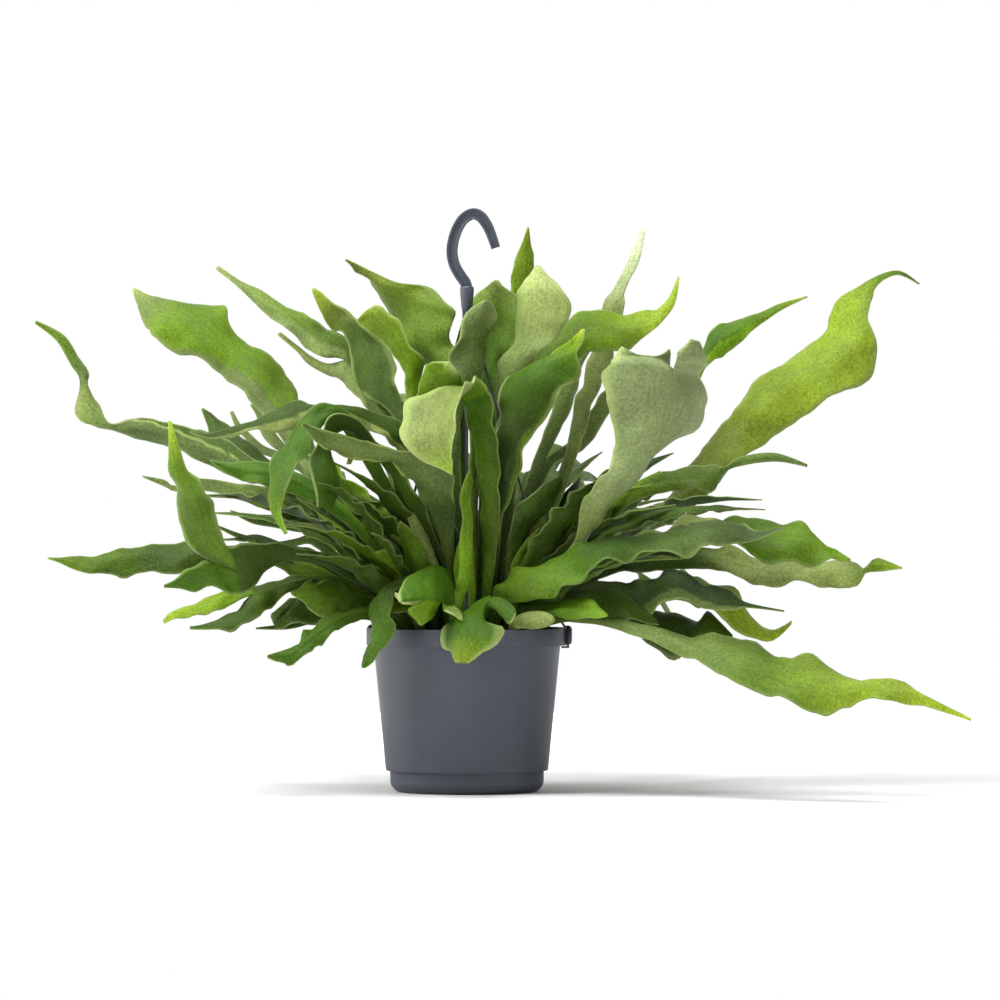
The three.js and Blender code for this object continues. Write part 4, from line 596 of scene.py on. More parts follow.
LOOKS = {
    "frond_left_01": dict(
        hair=0.5, cup=0.2, ripple=(4.5, 64),
        bands=[(0, (0, 0.42, 0.05), "felt", 0.3, 0.76), (0, (0, 0.36, 0), "dark", 0.3, 0.74)],
        tones="deep 0, shade 0.2, slate 0.5, slate 0.74, grey 0.78, felt 0.83, slate 0.86, mid 0.93, mid 1"
    ),
    "frond_left_02": dict(
        hair=0.2, ripple=(4, 70), bands=[(1, (0.4, 0.34, 0), "grey", 0.42, 0.88)],
        tones="deep 0, shade 0.3, dark 0.5, vivid 0.6, vivid 0.88, grey 0.95, felt 1"
    ),
    "frond_left_03": dict(
        hair=0.4, bands=[(1, (0.3, 0.5, 0.2), "grey", 0.45, 0.96)],
        tones="deep 0, shade 0.25, dark 0.5, slate 1",
        finger_tones={0: "dark 0, dark 0.6, mid 0.8, felt 1", 1: "slate 0, grey 0.7, felt 1"}
    ),
    "frond_left_04": dict(
        rim=0.6, tones="deep 0, shade 0.25, dark 0.5, mid 1",
        finger_tones={
            0: "dark 0, forest 0.55, vivid 0.7, vivid 0.85, bright 1",
            1: "shade 0, dark 0.7, dark 0.84, olive 0.93, lime 1"
        }
    ),
    "frond_left_05": dict(hair=0.45, tones="deep 0, shade 0.25, dark 0.5, mid 0.75, olive 1"),
    "frond_centre_01": dict(
        hair=0.2, rim=0.7, cup=0.22, ripple=(4, 40), both_sides=True,
        tones="dark 0, mid 0.3, forest 0.62, forest 0.75",
        finger_tones={0: "forest 0, vivid 1", 1: "forest 0, vivid 0.68, felt 0.76, felt 0.92, bright 1"}
    ),
    "frond_left_06": dict(
        hair=0.45, cup=0.2, both_sides=True, bands=[(1, (0.1, 0.16, 0.05), "felt", 0.5, 0.95)],
        tones="shade 0, dark 0.25, slate 0.5, grey 0.75, slate 1"
    ),
    "frond_left_07": dict(
        hair=0.3, bands=[(1, (0.1, 0.34, 0.1), "felt", 0.4, 0.97)],
        tones="deep 0, shade 0.3, dark 0.6, dark 1"
    ),
    "frond_left_08": dict(hair=0.12, tones="deep 0, shade 0.3, forest 0.5, forest 0.8, vivid 1"),
    "frond_left_09": dict(hair=0.12, tones="deep 0, shade 0.3, forest 0.5, forest 1"),
    "frond_left_10": dict(
        hair=0.05, rim=0.6, ripple=(4, 40), both_sides=True,
        tones="deep 0, shade 0.25, dark 0.45, dark 0.85, forest 1"
    ),
    "frond_left_13": dict(hair=0.7, tones="shade 0, slate 0.3, grey 0.6, grey 1"),
    "frond_left_14": dict(
        hair=0.1, ripple=(4.5, 50), tones="deep 0, shade 0.25, dark 0.45, dark 1",
        finger_tones={0: "mid 0, mid 0.7, mid 0.9, lime 1", 1: "mid 0, forest 1"}
    ),
    "frond_left_15": dict(
        hair=0.4, ripple=(4.5, 60), tones="deep 0, shade 0.3, dark 0.6, dark 0.75, mid 1"
    ),
    "frond_left_17": dict(
        ripple=(5, 30), tones="shade 0, dark 0.5, mid 1",
        finger_tones={0: "mid 0, vivid 0.7, bright 1", 1: "shade 0, dark 1"}
    ),
    "frond_left_18": dict(ripple=(5, 26), wave=1.3, teeth=15, tones="deep 0, shade 0.5, dark 1"),
    "frond_left_19": dict(ripple=(5, 26), wave=1.3, teeth=15, tones="deep 0, dark 0.5, mid 1"),
    "frond_left_20": dict(ripple=(5, 26), wave=1.3, teeth=15, tones="deep 0, dark 0.5, forest 1"),
    "frond_front_01": dict(
        ripple=(3, 30), wave=1.6, teeth=14, tones="shade 0, dark 0.5, forest 1",
        back_tones="shade 0, dark 0.5, mid 1"
    ),
    "frond_front_02": dict(
        hair=0.15, rim=0.9, ripple=(1.6, 34), both_sides=True,
        tones="shade 0, forest 0.4, forest 0.8, felt 1",
        finger_tones={
            0: "forest 0, felt 0.7, cream 1",
            1: "forest 0, vivid 1",
            2: "forest 0, forest 0.9, felt 1"
        }
    ),
    "frond_front_03": dict(
        hair=0.15, rim=0.9, cup=0.2, ripple=(2, 30), both_sides=True, tones="shade 0, forest 0.4, forest 1",
        finger_tones={0: "forest 0, forest 0.85, bright 1"}
    ),
    "frond_right_01": dict(hair=0.15, tones="shade 0, forest 0.5, vivid 1"),
    "frond_right_02": dict(
        hair=0.3, ripple=(5, 40), bands=[(0, (0, 0.36, 0.1), "felt", 0.5, 0.97)],
        tones="shade 0, mid 0.25, forest 0.5, slate 0.75, blue 1"
    ),
    "frond_right_03": dict(hair=0.15, tones="deep 0, shade 0.3, forest 0.5, vivid 1"),
    "frond_right_04": dict(
        hair=0.3, tones="deep 0, shade 0.3, dark 0.5, felt 0.62, felt 0.85, mid 0.93, lime 1"
    ),
    "frond_right_05": dict(
        hair=0.3, ripple=(5, 34), bands=[(1, (0.1, 0.3, 0.1), "grey", 0.35, 0.95)],
        tones="deep 0, shade 0.3, blue 0.6, blue 1"
    ),
    "frond_right_06": dict(
        ripple=(5, 40), tones="deep 0, shade 0.4, dark 1",
        finger_tones={0: "dark 0, mid 0.6, bright 0.75, lime 1", 1: "shade 0, dark 0.8, mid 1"}
    ),
    "frond_right_07": dict(
        hair=0.4, ripple=(5, 60), tones="slate 0, grey 0.2, grey 0.4, mid 0.6, bright 0.8, lime 1"
    ),
    "frond_right_08": dict(
        hair=0.5, cup=0.2, ripple=(5, 80),
        tones="shade 0, slate 0.3, olive 0.45, bright 0.6, bright 0.85, mid 0.93, dark 1"
    ),
    "frond_right_09": dict(
        hair=0.15, bands=[(1, (0.3, 0.45, 0.2), "vivid", 0.45, 0.95)],
        tones="deep 0, shade 0.3, dark 0.5, forest 0.8, vivid 0.93, lime 1"
    ),
    "frond_right_10": dict(
        hair=0.7, rim=0.7, cup=0.24, ripple=(5, 50),
        tones="shade 0, grey 0.2, felt 0.42, ash 0.55, ash 0.85, ash 1"
    ),
    "frond_right_11": dict(hair=0.3, tones="deep 0, dark 0.3, mid 0.6, slate 1"),
    "frond_right_12": dict(hair=0.5, tones="deep 0, dark 0.3, slate 0.6, grey 1"),
    "frond_top_01": dict(hair=0.9, tones="dark 0, slate 0.3, grey 0.5, felt 0.8, white 1"),
    "frond_top_02": dict(hair=0.5, tones="deep 0, dark 0.3, mid 0.55, vivid 0.75, bright 0.93, lime 1"),
    "frond_centre_02": dict(
        hair=0.2, rim=0.8, cup=0.22, bands=[(1, (0.1, 0.2, 0), "mid", 0.3, 0.85)],
        tones="shade 0, shade 0.3, shade 0.5, dark 0.7, forest 0.85, vivid 0.95, yellow 1"
    ),
    "frond_top_03": dict(
        hair=0.8, rim=0.9, cup=0.24,
        tones="deep 0, shade 0.3, dark 0.55, dark 0.68, grey 0.74, felt 0.88, cream 1"
    ),
    "frond_top_04": dict(hair=0.2, tones="deep 0, shade 0.3, mid 0.6, vivid 0.8, bright 1"),
    "frond_top_05": dict(hair=0.4, tones="deep 0, shade 0.4, forest 0.7, mid 0.94, felt 1"),
    "frond_top_06": dict(hair=0.7, tones="shade 0, dark 0.3, mid 0.6, slate 0.8, grey 0.93, ash 1"),
    "shield_frond_left": dict(tones="shade 0, dark 0.5, olive 1"),
    "shield_frond_right": dict(
        hair=0.3, rim=0.2, ripple=(2, 40), tones="shade 0, shade 0.4, brown 0.7, olive 1"
    ),
}

# Small fronds in the crown, placed from the photograph like the others but without a node of their own
SMALL_FRONDS = [
    drawn("young_sickle", "pale", (-14, -30), 0.3, [
        [-16, 128, -9, 130, -33], [-30, 158, -21, 162, -38], [-42, 192, -34, 195, -42],
        [-50, 208, -44, 212, -44], [-56, 222, -54, 224, -46]
    ]),
    drawn("young_strap", "bright", (-8, -50), 0.2, [
        [-12, 120, -6, 120, -54], [-10, 133, -3, 133, -59], [-7, 146, 2, 146, -62], [-5, 160, 3, 160, -61],
        [-5, 176, 4, 176, -60], [-3, 190, 4, 190, -57], [-5, 204, 2, 204, -53], [-2, 216, 4, 216, -49],
        [1, 223, 2, 223, -47]
    ]),
    drawn("young_middle", "dark", (-5, -2), 0.2, [
        [-9, 130, 1, 130, 0], [-11, 170, 0, 170, 4], [-12, 215, 0, 215, 8], [-12, 260, -1, 260, 12],
        [-9, 295, -3, 295, 16], [-7, 310, -6, 310, 20]
    ]),
    drawn("young_low_1", "dark", (-40, -34), -0.4, [
        [-52, 122, -52, 114, -42], [-78, 138, -82, 122, -50], [-98, 144, -104, 118, -56],
        [-116, 136, -122, 116, -60], [-132, 118, -134, 113, -63]
    ]),
    drawn("young_low_2", "mid", (-48, -8), -0.4, [
        [-56, 128, -58, 120, -10], [-84, 152, -88, 138, -14], [-108, 166, -114, 146, -18],
        [-128, 168, -132, 156, -20], [-146, 164, -147, 161, -22]
    ]),
    drawn("young_low_3", "dark", (40, -36), -0.4, [
        [52, 122, 52, 114, -44], [76, 136, 80, 120, -50], [98, 142, 104, 120, -54],
        [118, 132, 122, 118, -57], [132, 120, 134, 116, -59]
    ]),
    drawn("young_olive", "bright", (0, -40), 0.3, [
        [-3, 122, 5, 122, -42], [-8, 142, 6, 142, -43], [-9, 158, 5, 160, -44], [-6, 172, 4, 174, -44],
        [-2, 182, 1, 183, -44]
    ]),
    drawn("young_left_1", "dark", (-40, -28), -0.3, [
        [-46, 128, -38, 124, -36], [-58, 148, -44, 138, -42], [-70, 162, -56, 146, -46],
        [-78, 160, -72, 150, -48], [-84, 160, -82, 157, -49]
    ]),
    drawn("young_left_2", "mid", (-32, -40), -0.3, [
        [-38, 120, -30, 118, -46], [-50, 134, -36, 126, -52], [-60, 138, -50, 124, -56],
        [-67, 132, -63, 127, -58]
    ]),
    drawn("young_left_3", "dark", (-44, -6), -0.3, [
        [-50, 138, -42, 134, -8], [-60, 162, -48, 156, -10], [-72, 180, -56, 168, -12],
        [-72, 194, -62, 186, -13], [-66, 200, -64, 199, -14]
    ]),
    drawn("young_left_4", "bright", (-36, -14), -0.3, [
        [-44, 128, -34, 128, -18], [-58, 146, -38, 148, -20], [-66, 158, -46, 162, -21],
        [-64, 167, -54, 170, -22]
    ]),
    drawn("young_right_1", "dark", (36, -30), -0.3, [
        [38, 122, 50, 118, -38], [42, 136, 60, 128, -41], [52, 144, 66, 134, -43], [64, 146, 70, 140, -44],
        [74, 146, 76, 144, -45]
    ]),
    drawn("young_right_2", "mid", (44, -12), -0.3, [
        [50, 122, 60, 118, -14], [58, 140, 76, 132, -15], [70, 152, 88, 142, -16], [84, 160, 94, 154, -17],
        [96, 164, 98, 162, -18]
    ]),
    drawn("young_right_3", "pale", (34, -46), -0.3, [
        [30, 118, 36, 113, -54], [42, 125, 46, 113, -60], [55, 125, 56, 115, -64], [61, 121, 61, 119, -66]
    ]),
    drawn("young_fold", "dark", (28, -24), 0.4, [
        [26, 138, 33, 138, -26], [28, 170, 38, 168, -27], [32, 190, 46, 184, -28], [42, 204, 58, 196, -30],
        [54, 214, 66, 208, -32], [64, 220, 67, 218, -33]
    ]),
]


def to_frame(points):
    """Millimetres from the pot's axis to metres in the frame."""
    return (np.asarray(points, float) - ORIGIN) * MM


def linear(colour):
    """A screen colour from 0 to 255 as linear light."""
    share = np.asarray(colour, float) / 255
    return np.where(share <= 0.04045, share / 12.92, ((share + 0.055) / 1.055) ** 2.4)


def smooth(value, low, high):
    """0 below low, 1 above high, and a soft step between."""
    t = np.clip((np.asarray(value, float) - low) / (high - low), 0, 1)
    return t * t * (3 - 2 * t)


def unit(vectors):
    """The vectors, each brought to a length of 1."""
    length = np.linalg.norm(vectors, axis=-1, keepdims=True)
    return vectors / np.maximum(length, 1e-9)


# Pieces


def new_object(name, data):
    """An object in the scene for a mesh, a lamp or a camera."""
    item = bpy.data.objects.new(name, data)
    bpy.context.scene.collection.objects.link(item)
    return item


def new_mesh(name, points, faces, material):
    """A mesh in the frame, from points in millimetres."""
    mesh = bpy.data.meshes.new(name)
    mesh.from_pydata(to_frame(points).tolist(), [], [list(map(int, face)) for face in faces])
    mesh.materials.append(material)
    return mesh


def new_piece(name, points, faces, slot, material, *nodes, shade_smooth=True):
    """A mesh in the frame that rides on the part and stands for some of its nodes."""
    mesh = new_mesh(name, points, faces, material)
    mesh.validate()
    mesh.polygons.foreach_set("use_smooth", [shade_smooth] * len(mesh.polygons))
    piece = new_object(name, mesh)
    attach(piece, "root")
    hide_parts(*nodes)
    return piece


def paint(piece, name, values):
    """Stores one number, or three, for each point of a mesh."""
    values = np.asarray(values, np.float32)
    kind = "FLOAT" if values.ndim == 1 else "FLOAT_VECTOR"
    layer = piece.data.attributes.new(name, kind, "POINT")
    layer.data.foreach_set("value" if kind == "FLOAT" else "vector", values.ravel())


# Materials


def new_material(name, roughness):
    """A material, its nodes and its shader."""
    material = bpy.data.materials.new(name)
    material.use_nodes = True
    shader = material.node_tree.nodes["Principled BSDF"]
    shader.inputs["Roughness"].default_value = roughness
    return material, material.node_tree, shader


def add_node(tree, kind, **settings):
    """A new node with its settings."""
    node = tree.nodes.new(kind)
    for key, value in settings.items():
        setattr(node, key, value)
    return node


def feed(tree, socket, value):
    """Links an output to an input, or sets the input's own value. A tuple is a screen colour."""
    if isinstance(value, bpy.types.NodeSocket):
        tree.links.new(value, socket)
    elif isinstance(value, tuple):
        socket.default_value = (*linear(value), 1.0)
    else:
        socket.default_value = value


def maths(tree, operation, first, second):
    """The result of a sum or product."""
    node = add_node(tree, "ShaderNodeMath", operation=operation)
    feed(tree, node.inputs[0], first)
    feed(tree, node.inputs[1], second)
    return node.outputs[0]


def ranged(tree, value, low, high, to_low=0.0, to_high=1.0):
    """A value's range from low to high moved softly to another range."""
    node = add_node(tree, "ShaderNodeMapRange", interpolation_type="SMOOTHSTEP")
    feed(tree, node.inputs["Value"], value)
    for socket, number in zip(("From Min", "From Max", "To Min", "To Max"), (low, high, to_low, to_high)):
        node.inputs[socket].default_value = number
    return node.outputs["Result"]


def spread(tree, pattern, to_low=0.0, to_high=1.0):
    """The range that most of a noise lies in, moved to another range."""
    return ranged(tree, pattern, *NOISE_RANGE, to_low, to_high)


def mixed(tree, share, first, second, mode="MIX"):
    """Two colours mixed, with a share of the second."""
    node = add_node(tree, "ShaderNodeMix", data_type="RGBA", blend_type=mode)
    for socket, value in zip((node.inputs[0], node.inputs[6], node.inputs[7]), (share, first, second)):
        feed(tree, socket, value)
    return node.outputs[2]


def painted(tree, name, output="Fac"):
    """What was painted on the points of the mesh under this name."""
    return add_node(tree, "ShaderNodeAttribute", attribute_name=name).outputs[output]


def noise(tree, place, scale, detail=2.0, roughness=0.5):
    """A noise with its scale, detail and roughness."""
    node = add_node(tree, "ShaderNodeTexNoise")
    feed(tree, node.inputs["Vector"], place)
    node.inputs["Scale"].default_value = scale
    node.inputs["Detail"].default_value = detail
    node.inputs["Roughness"].default_value = roughness
    return node.outputs["Fac"]


def stretched(tree, place, scale):
    """Places scaled by three numbers, so that a pattern on them is drawn out."""
    node = add_node(tree, "ShaderNodeMapping")
    feed(tree, node.inputs["Vector"], place)
    node.inputs["Scale"].default_value = scale
    return node.outputs["Vector"]


def bumped(tree, shader, height, strength, distance):
    """Turns a pattern into small bumps of the surface."""
    node = add_node(tree, "ShaderNodeBump")
    node.inputs["Strength"].default_value = strength
    node.inputs["Distance"].default_value = distance
    feed(tree, node.inputs["Height"], height)
    feed(tree, shader.inputs["Normal"], node.outputs["Normal"])


def object_place(tree):
    """Each point's place in the frame."""
    return add_node(tree, "ShaderNodeTexCoord").outputs["Object"]


def frond_material(slot):
    """A frond's skin: its painted tone, with painted shade towards the root, clouds that vary the tone and
    are partly painted sheen, mottling, faint veins, fine pale hairs and a pale margin.
    """
    material, tree, shader = new_material("frond_" + slot, 0.5)
    place = object_place(tree)
    cloud = noise(tree, place, 18, detail=3, roughness=0.55)
    mottle = noise(tree, place, 520, detail=5, roughness=0.72)
    veins = noise(tree, stretched(tree, painted(tree, "grain", "Vector"), (0.5, 0.05, 1)), 1)
    hairs = noise(tree, place, 1150, roughness=0.7)
    colour = painted(tree, "tint", "Color")
    # The cloud varies the tone at random, and its wide range is partly painted sheen: lighter and darker
    # patches for the gloss on the blades
    for pattern, darkest, lightest in ((cloud, 0.72, 1.2), (mottle, 0.66, 1.3), (veins, 0.9, 1.08)):
        colour = mixed(tree, 1.0, colour, spread(tree, pattern, darkest, lightest), "MULTIPLY")
    hair_share = maths(tree, "MULTIPLY", ranged(tree, hairs, 0.5, 0.74, 0, 0.75), painted(tree, "hair"))
    colour = mixed(tree, hair_share, colour, HAIR_COLOUR)
    feed(tree, shader.inputs["Base Color"], mixed(tree, painted(tree, "rim"), colour, RIM_COLOUR))
    feed(tree, shader.inputs["Roughness"], spread(tree, mottle, 0.4, 0.56))
    shader.inputs["Specular IOR Level"].default_value = 0.17
    bumps = maths(tree, "ADD", maths(tree, "MULTIPLY", mottle, 0.9), maths(tree, "MULTIPLY", hairs, 0.2))
    bumped(tree, shader, bumps, 0.6, 0.0011)
    return material


def pot_material():
    """Dark grey moulded plastic, satin, with a fine grain and a little dust."""
    material, tree, shader = new_material("pot_plastic", 0.5)
    place = object_place(tree)
    cloud = noise(tree, place, 14, detail=5, roughness=0.6)
    dust = noise(tree, stretched(tree, place, (1, 1, 0.25)), 220, detail=6, roughness=0.75)
    body = mixed(tree, spread(tree, cloud), *POT_SHADES)
    dusty = mixed(tree, ranged(tree, dust, 0.64, 0.8, 0.0, 0.35), body, DUST)
    feed(tree, shader.inputs["Base Color"], dusty)
    feed(tree, shader.inputs["Roughness"], spread(tree, cloud, 0.44, 0.56))
    bumped(tree, shader, noise(tree, place, 1600), 0.12, 0.0002)
    return material


def hanger_material():
    """The hanger's smoother grey plastic, with painted shade: below the legs' top it is painted near black,
    for the shade among the fronds.
    """
    material, tree, shader = new_material("hanger_plastic", 0.42)
    place = object_place(tree)
    cloud = noise(tree, place, 60, detail=4)
    split = add_node(tree, "ShaderNodeSeparateXYZ")
    feed(tree, split.inputs[0], place)
    leg_top = to_frame((0, 0, LEG_TOP))[2]
    upper = ranged(tree, split.outputs["Z"], leg_top - 0.01, leg_top)
    hook = mixed(tree, spread(tree, cloud), *HOOK_SHADES)
    # Painted shade: below the legs' top the plastic is painted near black, for the shade among the fronds
    feed(tree, shader.inputs["Base Color"], mixed(tree, upper, LEG_PAINTED_SHADE, hook))
    feed(tree, shader.inputs["Roughness"], spread(tree, cloud, 0.36, 0.5))
    bumped(tree, shader, noise(tree, place, 1400), 0.1, 0.0002)
    return material


def soil_material():
    """Moist moss and bark: dark brown with lighter fibres and a little green."""
    material, tree, shader = new_material("soil", 0.9)
    place = object_place(tree)
    lumps = noise(tree, place, 160, detail=6, roughness=0.7)
    moss = ranged(tree, noise(tree, place, 45, detail=3), 0.5, 0.65, 0.0, 0.55)
    earth = mixed(tree, ranged(tree, lumps, 0.35, 0.65), *EARTH_SHADES)
    feed(tree, shader.inputs["Base Color"], mixed(tree, moss, earth, MOSS))
    bumped(tree, shader, lumps, 0.8, 0.002)
    return material


def floor_material():
    """Pale paper, which glows towards the floor's edge so that it passes into the white around it."""
    material, tree, shader = new_material("floor", 0.9)
    place = object_place(tree)
    paper = mixed(tree, spread(tree, noise(tree, place, 3)), *FLOOR_SHADES)
    feed(tree, shader.inputs["Base Color"], paper)
    nearness = add_node(tree, "ShaderNodeTexGradient", gradient_type="SPHERICAL")
    feed(tree, nearness.inputs["Vector"], place)
    glow = ranged(tree, nearness.outputs["Fac"], 0.02, 0.42, FLOOR_GLOW, 0.0)
    feed(tree, shader.inputs["Emission Strength"], glow)
    shader.inputs["Emission Color"].default_value = (1, 1, 1, 1)
    return material


# Fronds


def blend(a, b, c, d, t):
    """A point of a curve through b and c, with a before them and d after them."""
    return 0.5 * (2 * b + (c - a) * t + (2 * a - 5 * b + 4 * c - d) * t**2 + (3 * b - a - 3 * c + d) * t**3)


def curve(stations, before, steps=None):
    """Points of a smooth curve through all the stations, without the first one itself."""
    points = []
    line = [before, *stations, stations[-1]]
    for a, b, c, d in zip(line, line[1:], line[2:], line[3:]):
        parts = steps or max(2, round(np.linalg.norm(b.mean(0) - c.mean(0)) / ROW_PITCH))
        points += [blend(a, b, c, d, part / parts) for part in range(1, parts + 1)]
    return np.array(points)


def across(edges, columns):
    """Evenly spaced points between the two edges of each row."""
    share = np.linspace(0, 1, columns + 1)[None, :, None]
    return edges[:, :1] * (1 - share) + edges[:, 1:] * share


def lengths_along(line):
    """How far each point of a line is from its first one, along the line."""
    return np.concatenate([[0], np.cumsum(np.linalg.norm(np.diff(line, axis=0), axis=1))])


def wavy(reach, length, rng):
    """An uneven wave along a frond, between about -1 and 1."""
    first, second, third = (rng.uniform(0, FULL_TURN) for _ in range(3))
    turn = FULL_TURN * reach / length
    slow = np.sin(turn + first + 0.7 * np.sin(turn * 0.37 + third))
    return 0.62 * slow + 0.38 * np.sin(turn * 1.73 + second)


def shaped(flat, reach, look, facing, rng):
    """The flat rows with their cup, rippled edges and uneven outline."""
    columns = flat.shape[1] - 1
    from_middle = 2 * np.linspace(0, 1, columns + 1) - 1
    span = flat[:, -1] - flat[:, 0]
    width = np.linalg.norm(span, axis=1)
    side = unit(span)
    along = unit(np.gradient(flat[:, columns // 2], axis=0))
    normal = unit(np.cross(along, side)) * facing
    fade = smooth(reach, *SHAPING_START)
    lift = look["cup"] * (width * fade)[:, None] * (1 / 3 - from_middle**2)[None, :]
    height, length = look["ripple"]
    ripple = height * fade * smooth(width, *RIPPLE_WIDTHS)
    outline = look["wave"] * fade * smooth(width, *WAVE_WIDTHS)
    slide = np.zeros_like(lift)
    for outward in (-1, 1):
        weight = np.clip(outward * from_middle, 0, 1)
        lift += (ripple * wavy(reach, length, rng))[:, None] * (weight**1.6)[None, :]
        slide += (outline * wavy(reach, look["teeth"], rng))[:, None] * weight[None, :] * outward
    return flat + normal[:, None, :] * lift[:, :, None] + side[:, None, :] * slide[:, :, None]


class Sheet:
    """A frond's middle surface: its points, what is known of each of them, and its four-cornered cells."""

    def __init__(self):
        self.points = []
        self.layers = {"reach": [], "part": [], "across": [], "margin": [], "share": [], "finger": []}
        self.cells = []

    def add(self, grid, first_ids=None, **layers):
        """Adds rows of points, joined to a row that is there already if first_ids gives it."""
        start = len(self.points)
        count = grid.shape[1]
        self.points.extend(grid.reshape(-1, 3))
        for name, values in layers.items():
            self.layers[name].extend(np.broadcast_to(values, grid.shape[:2]).ravel())
        rows = [list(range(start + i * count, start + (i + 1) * count)) for i in range(grid.shape[0])]
        if first_ids is not None:
            rows.insert(0, list(first_ids))
        for low, high in zip(rows, rows[1:]):
            for i in range(count - 1):
                self.cells.append((low[i], low[i + 1], high[i + 1], high[i]))
        return rows[-1]


def stub_ends(root, first):
    """The bottom and the top of the stub that stands in the soil, with its edges like the first station's."""
    half = (-1 if first[0][0] < first[1][0] else 1) * STUB_WIDTH / 2
    heights = (SOIL_TOP - STUB_DEPTH, SOIL_TOP + 1)
    return [np.array([[root[0] + side, root[1], z] for side in (half, -half)], float) for z in heights]


def finger_rows(number, count, finger, base, station):
    """The flat rows of one finger, from its base at the stem's end. station is the stem's last but one."""
    shares = (number / count, (number + 1) / count)
    before = np.array([station[0] * (1 - t) + station[1] * t for t in shares])
    return across(curve([base[[0, -1]], *finger], before), FORKED_COLUMNS)


def from_edges(rows, share):
    """How far each point is from the middle of its row, and from the nearer edge."""
    width = np.linalg.norm(rows[:, -1] - rows[:, 0], axis=1)[:, None]
    return (share - 0.5) * width, np.minimum(share, 1 - share) * width


def frond_sheet(frond, look, rng):
    """A frond's middle surface, and 1 if the sheet's second face turns to the front, or else -1."""
    fingers = frond["fingers"]
    columns = FORKED_COLUMNS * len(fingers) or SINGLE_COLUMNS
    bottom, top = stub_ends(frond["root"], frond["edges"][0])
    stations = [top, *frond["edges"]]
    flat = across(np.concatenate([[bottom], [top], curve(stations, bottom)]), columns)
    middle = flat[:, columns // 2]
    reach = lengths_along(middle)
    normal = np.cross(np.gradient(middle, axis=0), flat[:, -1] - flat[:, 0])
    facing = -1 if normal[len(normal) // 3:, 1].sum() > 0 else 1
    branches = []
    for i, finger in enumerate(fingers):
        pick = slice(i * FORKED_COLUMNS, (i + 1) * FORKED_COLUMNS + 1)
        base = flat[-1, pick]
        rows = finger_rows(i, len(fingers), finger, base, stations[-2])
        middles = np.concatenate([base[None], rows])[:, FORKED_COLUMNS // 2]
        branches.append((pick, rows, reach[-1] + lengths_along(middles)[1:]))
    total = max([reach[-1]] + [far[-1] for _, _, far in branches])

    sheet = Sheet()
    share = np.linspace(0, 1, columns + 1)[None, :]
    off_middle, margin = from_edges(flat, share)
    stem = shaped(flat, reach, look, facing, rng)
    end = sheet.add(stem, reach=reach[:, None], part=reach[:, None] / total, across=off_middle, margin=margin,
                    share=share, finger=-1)
    share = np.linspace(0, 1, FORKED_COLUMNS + 1)[None, :]
    for i, (pick, rows, far) in enumerate(branches):
        settle = smooth(far - reach[-1], 0, FORK_SETTLING)[:, None]
        own_shape = (shaped(rows, far, look, facing, rng) - rows) * settle[..., None]
        carried = (stem[-1, pick] - flat[-1, pick])[None] * (1 - settle[..., None])
        own_middle, own_margin = from_edges(rows, share)
        sheet.add(rows + own_shape + carried, end[pick], reach=far[:, None], part=far[:, None] / far[-1],
                  across=own_middle * settle + off_middle[-1, pick] * (1 - settle),
                  margin=own_margin * settle + margin[-1, pick] * (1 - settle), share=share, finger=i)
    return sheet, facing


def normals_of(points, cells):
    """The sheet's direction at each point."""
    a, b, c, d = (points[cells[:, i]] for i in range(4))
    cell_normals = np.cross(c - a, d - b)
    normals = np.zeros_like(points)
    for i in range(4):
        np.add.at(normals, cells[:, i], cell_normals)
    return unit(normals)


def open_edges(cells):
    """The edges that only one cell has."""
    edges = {}
    for cell in cells:
        for start, stop in zip(cell, np.roll(cell, -1)):
            if (stop, start) in edges:
                del edges[(stop, start)]
            else:
                edges[(start, stop)] = True
    return list(edges)


def plate(sheet):
    """The sheet as a closed body: two faces, and walls round its edge."""
    points = np.array(sheet.points)
    cells = np.array(sheet.cells)
    normals = normals_of(points, cells)
    reach, share, margin = (np.array(sheet.layers[name]) for name in ("reach", "share", "margin"))
    dents = np.array([value_noise(Vector(point / DENT_LENGTH)) for point in points])
    dents = DENT_HEIGHT * dents * smooth(margin, *DENT_MARGIN) * smooth(reach, *DENT_START)
    points = points + normals * dents[:, None]
    thin = smooth(reach, 0, THINNING_LENGTH)
    middle = STIPE_MIDDLE + (BLADE_MIDDLE - STIPE_MIDDLE) * thin
    edge = STIPE_EDGE + (BLADE_EDGE - STIPE_EDGE) * thin
    crown = np.sqrt(np.clip(1 - (2 * share - 1) ** 2, 0, 1))
    thickness = edge + (middle - edge) * crown * smooth(margin, 0, 3)
    rib = RIB_HEIGHT * (1 - smooth(reach, *RIB_END)) * np.exp(-((share - 0.5) / RIB_SHARE) ** 2)
    first_face = points + normals * (thickness / 2)[:, None]
    second_face = points - normals * (thickness / 2 + rib)[:, None]
    count = len(points)
    faces = [*cells, *(cells[:, ::-1] + count)]
    faces += [(stop, start, start + count, stop + count) for start, stop in open_edges(cells)]
    return np.concatenate([first_face, second_face]), faces


def tones_along(tones, part):
    """Tones such as "deep 0, dark 0.4, mid 1", blended between the places that they name."""
    stops = [stop.split() for stop in tones.split(", ")]
    places = [float(place) for _, place in stops]
    colours = np.array([linear(TONES[tone]) for tone, _ in stops])
    return np.stack([np.interp(part, places, colours[:, i]) for i in range(3)], axis=-1)


